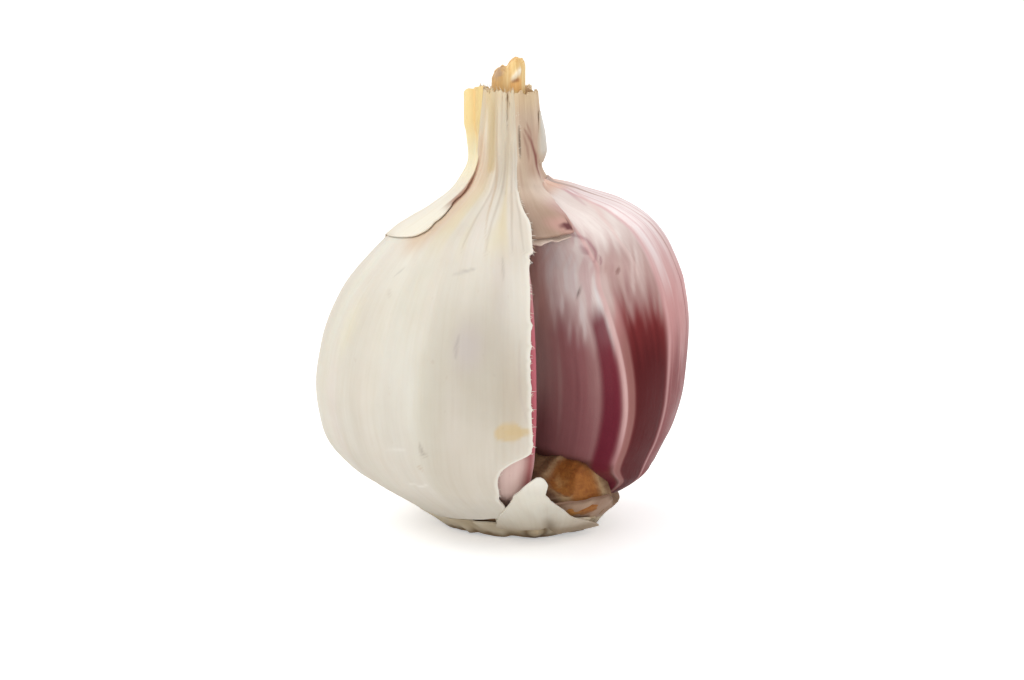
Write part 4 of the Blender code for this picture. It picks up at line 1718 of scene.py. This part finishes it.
@dataclass(frozen=True)
class BaseWraps:
    """The torn stubs of leaves round the foot: the collar, the bent flap and the inner cup."""

    flap_left: Path = (
        (1, -15), (5, -8.6), (7.4, -2.6), (9.8, 2.4), (11.6, 6), (12.6, 8.6), (13.2, 10.4),
    )
    flap_right: Path = (
        (1, 55), (3.2, 35), (4.6, 25), (6, 20.5), (7.6, 17), (8.8, 14.2), (10, 13.4),
        (11.6, 13.9), (12.7, 12.8), (13.2, 11.6),
    )
    flap_heights: tuple[float, float] = (1, 13.1)
    collar_top: float = 3.3
    cup_edges: tuple[float, float] = (6, 64)
    cup_foot: float = 2.2
    cup_top: float = 7.3
    thickness: float = 0.3
    flap_thickness: float = 0.26

    def collar(self) -> Surface:
        """Shapes and paints the collar.

        Returns:
            Its grid.
        """
        azimuth = around(240)
        level = upwards(26)
        low = 0.36 + 0.18 * Ripple(121)(azimuth / 8)
        bare = bump(52, 118, 14, azimuth)
        rise = 0.3 * Ripple(122)(azimuth / 11) + 2.9 * bump(-12, 0, 3, azimuth) - 1.5 * bare
        azimuth, z = np.broadcast_arrays(azimuth, low + level * (self.collar_top - low + rise))
        crease = Ripple(123)(azimuth / 5, z / 3)
        knot = bell(7, 5.5, azimuth) * bell(1.6, 1.2, z)
        sunk = 0.34 + 0.5 * bare - 0.3 * crease - 0.2 * Ripple(124)(azimuth / 15) - 1.2 * knot
        paint = Paint((226, 214, 192), azimuth, z)
        # Painted shade: the tan wash is deeper in the sunken creases, the brown washes darken the collar near
        # the floor and at its front under the flap, and a dark ring sits round the knot's foot.
        paint.washes(
            ((194, 176, 146), 0.5 - 0.6 * crease),
            ((146, 122, 92), ramp(1.6, 0.4, z + 0.4 * crease)),
            ((122, 98, 72), 0.7 * bump(-1, 15, 3, azimuth) * ramp(3.4, 2, z)),
            ((204, 186, 156), 0.8 * ramp(0.3, 0.8, knot)),
            ((126, 102, 74), 0.7 * bump(0.25, 0.5, 0.12, knot)),
        )
        return Surface.leaf(paint, FORM.inset(azimuth, z, sunk), 0.5, closed=True)

    def flap(self) -> Surface:
        """Shapes and paints the bent flap.

        Returns:
            Its grid.
        """
        z = np.linspace(*self.flap_heights, 74)[:, None]
        share = np.linspace(0, 1, 60)[None, :]
        left = SmoothCurve(self.flap_left)(z) + 0.4 * Ripple(131)(z / 0.9)
        right = SmoothCurve(self.flap_right)(z) + 0.4 * Ripple(132)(z / 0.7)
        azimuth = left + (right - left) * share
        cut = (1.3 + 0.4 * Ripple(135)(azimuth / 4)) * bump(-20, 17, 4, azimuth)
        z = z + cut * ramp(6, 1, z)
        fold = ramp(9, 13, z)
        crease = bell(12 + 0.4 * (9 - z), 3.5, azimuth) * ramp(9, 5, z)
        lift = 0.35 + 0.35 * Ripple(133)(azimuth / 9, z / 3.5) + 0.7 * fold - 0.5 * crease
        paint = Paint((232, 226, 212), azimuth, z)
        # Darker towards the foot as painted shade, mixed with random mottling; the crease gets painted shade
        # as well.
        shade_and_mottle = 0.6 * ramp(6.5, 2.5, z) + 0.2 * Ripple(134)(azimuth / 5, z / 2)
        paint.washes(
            ((208, 194, 174), shade_and_mottle),
            ((176, 154, 128), 0.8 * ramp(3.4, 1.6, z)),
            ((152, 134, 112), 0.7 * crease * ramp(6, 3, z)),
            ((244, 240, 229), 0.8 * fold),
        )
        return Surface.leaf(paint, FORM.inset(azimuth, z, -lift), 0.5)

    def cup(self) -> Surface:
        """Shapes and paints the inner cup.

        Returns:
            Its grid.
        """
        azimuth = np.linspace(*self.cup_edges, 80)[None, :]
        level = upwards(22)
        top = self.cup_top + 0.2 * Ripple(141)(azimuth / 4) - 3.6 * ramp(44, 64, azimuth)
        azimuth, z = np.broadcast_arrays(azimuth, self.cup_foot + level * (top - self.cup_foot))
        radius = FORM.inset(azimuth, z, 0.7) + 0.15 * Ripple(142)(azimuth / 6, z / 2)
        paint = Paint((168, 136, 114), azimuth, z)
        paint.washes(
            ((190, 162, 138), 0.5 + 0.6 * Ripple(143)(azimuth / 4, z / 3)),
            ((120, 88, 66), 0.7 * ramp(0.85, 1, level)),
        )
        return Surface.leaf(paint, radius, 0.5)

    def build(self, workshop: Workshop) -> None:
        """Makes the three stubs.

        Args:
            workshop: Makes the pieces.
        """
        sizes = ReliefSizes(0.8, vein_height=0.12, wrinkle_spacing=2.5, wrinkle_height=0.3, seed=6.0)
        workshop.skin("base_collar", self.collar(), PAPER, sizes, self.thickness)
        workshop.skin("base_flap", self.flap(), PAPER, sizes, self.flap_thickness)
        workshop.skin("base_inner_cup", self.cup(), SHEATH, sizes, self.thickness)


@dataclass(frozen=True)
class NeckFilm(Skin):
    """The loose, thin film on the neck's full side."""

    name: str = "neck_film"
    finish: SkinFinish = PAPER
    sizes: ReliefSizes = ReliefSizes(vein_spacing=0.6, vein_height=0.08, seed=7.0)
    edges: tuple[float, float] = (50, 118)
    bottom: float = 56.4
    top: float = 64.2
    thickness: float = 0.1

    def surface(self) -> Surface:
        """Shapes and paints the film.

        Returns:
            Its grid.
        """
        z = np.linspace(self.bottom, self.top, 50)[:, None]
        share = np.linspace(0, 1, 30)[None, :]
        t = (z - self.bottom) / (self.top - self.bottom)
        taper = 24 * t**1.6 + 14 * ramp(0.3, 0, t)
        left = self.edges[0] + taper + 2 * Ripple(151)(z / 1.4)
        right = self.edges[1] - taper + 3 * Ripple(152)(z / 1.1)
        azimuth = left + (right - left) * share
        z = np.broadcast_to(z, azimuth.shape)
        apart = ramp(0, 34, azimuth - left)
        swell = 0.60 * np.sin(math.pi * t) * (1 - 0.4 * t) + 0.15 * Ripple(153)(azimuth / 9, z / 3)
        lift = 0.06 + apart * swell - 0.6 * bump(54, 140, 8, azimuth) * ramp(58.5, 55.5, z)
        paint = Paint((228, 223, 213), azimuth, z)
        paint.washes(
            ((212, 203, 190), 0.4 + 0.6 * Ripple(154)(azimuth / 7, z / 8)),
            ((208, 186, 162), 1 - ramp(0, 0.3, np.minimum(share, 1 - share))),
            ((208, 186, 162), 0.9 * ramp(0.3, 0, t)),
        )
        return Surface.leaf(paint, FORM.inset(azimuth, z, -lift), 0.6)


@dataclass(frozen=True)
class FlowerStalk:
    """The woody stub that sticks out of the neck, cut off rough and split down its middle."""

    bottom: float = 11.6
    top: float = 71.55
    radius: float = 2.5
    columns: int = 96
    splinters: int = 40

    def surface(self) -> Surface:
        """Shapes and paints the stalk.

        Returns:
            Its grid.
        """
        azimuth = around(self.columns)
        side = np.concatenate([np.linspace(self.bottom, 66, 12), np.linspace(66.5, self.top, 44)])
        cap = np.linspace(1, 0.06, 14)[1:]
        z = np.concatenate([side, np.full(len(cap), self.top)])[:, None]
        share = np.concatenate([np.ones(len(side)), cap])[:, None]
        azimuth, z, share = np.broadcast_arrays(azimuth, z, share)
        sine, cosine = np.sin(np.radians(azimuth)), np.cos(np.radians(azimuth))
        bared = ramp(65, 68, z)
        cleft = bell(2, 13, azimuth) + bell(180, 16, np.abs(azimuth))
        fibre = Ripple(161)(azimuth / 7, z / 12)
        radius = self.radius * (1 + 0.05 * cosine**2 - 0.22 * cleft * bared + 0.05 * fibre * bared)
        tapered = 1 - 0.16 * ramp(self.top - 1.4, self.top, z) ** 2
        radius = radius * np.where(share < 1, 0.84 * share, tapered)
        x, y = radius * sine, radius * cosine
        over = ramp(67.5, self.top, z)
        lumps = np.interp(x, (-2.5, -1.7, -0.5, 0.2, 1.3, 2.4), (-1.5, -0.8, -0.4, 0.1, 0.75, 0.55))
        valley = -0.3 * bell(-0.2, 0.3, x)
        rough = 0.3 * Ripple(162)(x / 0.5, y / 0.5)
        height = z + over * (lumps + valley + rough - 0.25 * ramp(0.6, 0, share))
        paint = Paint((238, 202, 142), azimuth, z)
        paint.washes(
            ((255, 230, 168), 0.85 * bump(10, 90, 12, azimuth)),
            ((196, 152, 92), 0.6 * bump(-90, -16, 12, azimuth)),
            ((232, 186, 120), 0.2 + 0.6 * Ripple(163)(azimuth / 8, z / 7)),
            ((234, 190, 128), 0.7 * ramp(0.2, 0.9, fibre)),
            ((206, 144, 78), 0.6 * ramp(0.2, 0.9, -fibre) * ramp(0, 1.2, x)),
            ((250, 222, 166), 0.9 * bell(-4, 5, azimuth) * ramp(67, 69, z)),
        )
        dull = bump(-95, -22, 12, azimuth) * ramp(69, 70.6, z)
        dull = dull * ramp(-0.7, 0.5, Ripple(164)(azimuth / 14, z / 0.7))
        paint.wash((186, 158, 136), 0.75 * dull)
        chip = np.exp(-(((azimuth - 28) / 18) ** 4)) * bell(69.7 + 0.02 * (azimuth - 28), 0.42, z)
        below = bump(8, 50, 6, azimuth) * bump(67.4, 69.1, 0.3, z)
        paint.washes(
            ((246, 210, 142), 0.6 * bump(6, 80, 10, azimuth) * ramp(69.6, 71, z)),
            ((244, 184, 108), 0.7 * below),
            ((158, 92, 44), 0.75 * bump(12, 36, 6, azimuth) * bump(68.7, 69.15, 0.15, z)),
            ((253, 242, 218), np.minimum(1.3 * chip, 1)),
            ((240, 196, 132), 0.7 * ramp(0.95, 0.6, share) * ramp(-0.5, 1, x)),
        )
        flow = np.stack([azimuth * 0.05, share * 2, z], axis=-1)
        out = np.stack([sine, -cosine, np.full_like(sine, 0.3)], axis=-1)
        points = FORM.place(azimuth, radius, height) + (0.4 * MM * chip)[..., None] * out
        return Surface(points, paint.tone, flow, bared, closed=True, poles=True)

    def build(self, workshop: Workshop) -> None:
        """Makes the stalk and the splinters of its cut.

        Args:
            workshop: Makes the pieces.
        """
        sizes = ReliefSizes(0.35, vein_height=0.12, wrinkle_spacing=0.9, wrinkle_height=0.18, seed=8.0)
        surface = self.surface()
        workshop.skin("flower_stalk", surface, WOOD, sizes)
        rng, count = np.random.default_rng(31), self.splinters
        rows, columns = rng.integers(50, 56, count), rng.integers(0, self.columns, count)
        feet, tone = surface.points[rows, columns], surface.tone[rows, columns]
        lean = rng.normal((0, 0, 1), 0.4, (count, 3))
        workshop.fibres("stalk_splinters", feet, lean, tone, (0.3, 0.07), WOOD, Slot.STALK_WOOD, 4)


@dataclass(frozen=True)
class RootTuft:
    """The trimmed roots round the plate's foot."""

    count: int = 12
    strands: int = 14
    ring: float = 9.65
    height: float = 0.42

    def build(self, workshop: Workshop) -> None:
        """Makes the roots.

        Args:
            workshop: Makes the piece.
        """
        rng = np.random.default_rng(41)
        many = self.strands * self.count
        azimuth = rng.uniform(-180, 180, many)
        radius = self.ring + rng.uniform(-0.8, 1.9, many)
        z = self.height + np.maximum(radius - 9.6, 0) * 0.45 + rng.uniform(0, 0.25, many)
        feet = FORM.place(azimuth, radius, z)
        out = FORM.place(azimuth, radius + 1, z) - feet
        lean = out / MM + rng.normal(0, 0.35, (many, 3)) * (1, 1, 0.3) + (0, 0, 0.12)
        dark, pale = linear((112, 88, 64)), linear((176, 154, 124))
        share = rng.uniform(0, 1, (many, 1))
        tone = dark * (1 - share) + pale * share
        args = feet, lean, tone, (1.3, 0.17), CORK, Slot.STALK_WOOD, 5
        piece = workshop.fibres("root_tuft", *args)
        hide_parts(*(f"root_stub_{number:02d}" for number in range(1, self.count + 1)))


@dataclass(frozen=True)
class Studio:
    """The pale floor, the soft lights and the camera, in millimetres and degrees."""

    lens: float = 100.0
    distance: float = 442.0
    elevation: float = 11.0
    aim: tuple[float, float, float] = (-2.0, 0.0, 28.5)
    floor_radius: float = 6000.0
    sky: float = 0.78
    glow: float = 0.42

    def build(self) -> None:
        """Makes the floor, the lights and the camera."""
        self.make_floor()
        self.make_light("key", (-330.0, 60.0, 420.0), 300.0, 0.95, (1.0, 0.98, 0.95))
        self.make_light("fill", (-20.0, -740.0, 110.0), 260.0, 0.95, (1.0, 0.99, 0.97))
        self.make_light("back", (260.0, 330.0, 380.0), 260.0, 0.75, (1.0, 0.98, 0.96))
        world = bpy.data.worlds.new("studio_sky")
        world.use_nodes = True
        world.node_tree.nodes["Background"].inputs["Color"].default_value = (1.0, 1.0, 1.0, 1.0)
        world.node_tree.nodes["Background"].inputs["Strength"].default_value = self.sky
        bpy.context.scene.world = world
        bpy.context.scene.view_settings.view_transform = "Standard"
        camera = bpy.data.cameras.new("camera")
        camera.lens = self.lens
        camera.sensor_width = 36.0
        camera.clip_start = 0.01
        obj = added("camera", camera)
        turn = math.radians(self.elevation)
        away = (0.0, -math.cos(turn) * self.distance, math.sin(turn) * self.distance)
        obj.location = [(a + b) * MM for a, b in zip(self.aim, away)]
        obj.rotation_euler = (math.radians(90.0 - self.elevation), 0.0, 0.0)
        bpy.context.scene.camera = obj

    def make_floor(self) -> None:
        """Makes the floor."""
        turns = np.linspace(0.0, 2.0 * math.pi, 64, endpoint=False)
        ring = np.stack([np.cos(turns), np.sin(turns), np.zeros(64)], axis=-1) * self.floor_radius * MM
        mesh = bpy.data.meshes.new("floor")
        mesh.from_pydata(ring.tolist(), [], [list(range(len(ring)))])
        material = bpy.data.materials.new("pale_floor")
        material.use_nodes = True
        graph = Graph(material.node_tree)
        shader = material.node_tree.nodes["Principled BSDF"]
        place = graph.node("ShaderNodeTexCoord").outputs["Object"]
        cloud = graph.noise(place, (9.0, 9.0, 9.0), 2.0)
        colour = graph.tint((0.9, 0.9, 0.9, 1.0), (0.96, 0.96, 0.96), cloud)
        material.node_tree.links.new(colour, shader.inputs["Base Color"])
        shader.inputs["Roughness"].default_value = 0.9
        shader.inputs["Emission Color"].default_value = (1.0, 1.0, 1.0, 1.0)
        seen = graph.node("ShaderNodeLightPath").outputs["Is Camera Ray"]
        glow = graph.math("MULTIPLY", seen, self.glow)
        material.node_tree.links.new(glow, shader.inputs["Emission Strength"])
        mesh.materials.append(material)
        added("floor", mesh)

    def make_light(self, name: str, at: tuple, size: float, power: float, colour: tuple) -> None:
        """Makes a soft square light that faces the bulb.

        Args:
            name: Its name.
            at: Where it stands.
            size: Its side.
            power: Its power in watts.
            colour: Its linear colour.
        """
        light = bpy.data.lights.new(name, "AREA")
        light.size = size * MM
        light.energy = power
        light.color = colour
        obj = added(name, light)
        x, y, z = (a - b for a, b in zip(at, self.aim))
        obj.location = [c * MM for c in at]
        obj.rotation_euler = (math.atan2(math.hypot(x, y), z), 0.0, math.atan2(x, -y))


@dataclass(frozen=True)
class GarlicBulb:
    """The whole bulb."""

    outer_skin: OuterSkin = field(default_factory=OuterSkin)
    torn_leaf: TornLeaf = field(default_factory=TornLeaf)
    inner_sheath: InnerSheath = field(default_factory=InnerSheath)
    cloves: CloveRing = field(default_factory=CloveRing)
    plate: BasalPlate = field(default_factory=BasalPlate)
    base_wraps: BaseWraps = field(default_factory=BaseWraps)
    neck_film: NeckFilm = field(default_factory=NeckFilm)
    stalk: FlowerStalk = field(default_factory=FlowerStalk)
    roots: RootTuft = field(default_factory=RootTuft)

    def build(self) -> None:
        """Makes every piece with its finish."""
        workshop = Workshop()
        made = (
            self.plate, self.stalk, self.cloves, self.inner_sheath, self.outer_skin, self.torn_leaf,
            self.neck_film, self.base_wraps, self.roots,
        )
        for part in made:
            part.build(workshop)


def main() -> None:
    """Builds the bulb and the studio round it."""
    logging.basicConfig(level=logging.INFO, format="%(message)s")
    GarlicBulb().build()
    Studio().build()


if __name__ == "__main__":
    main()
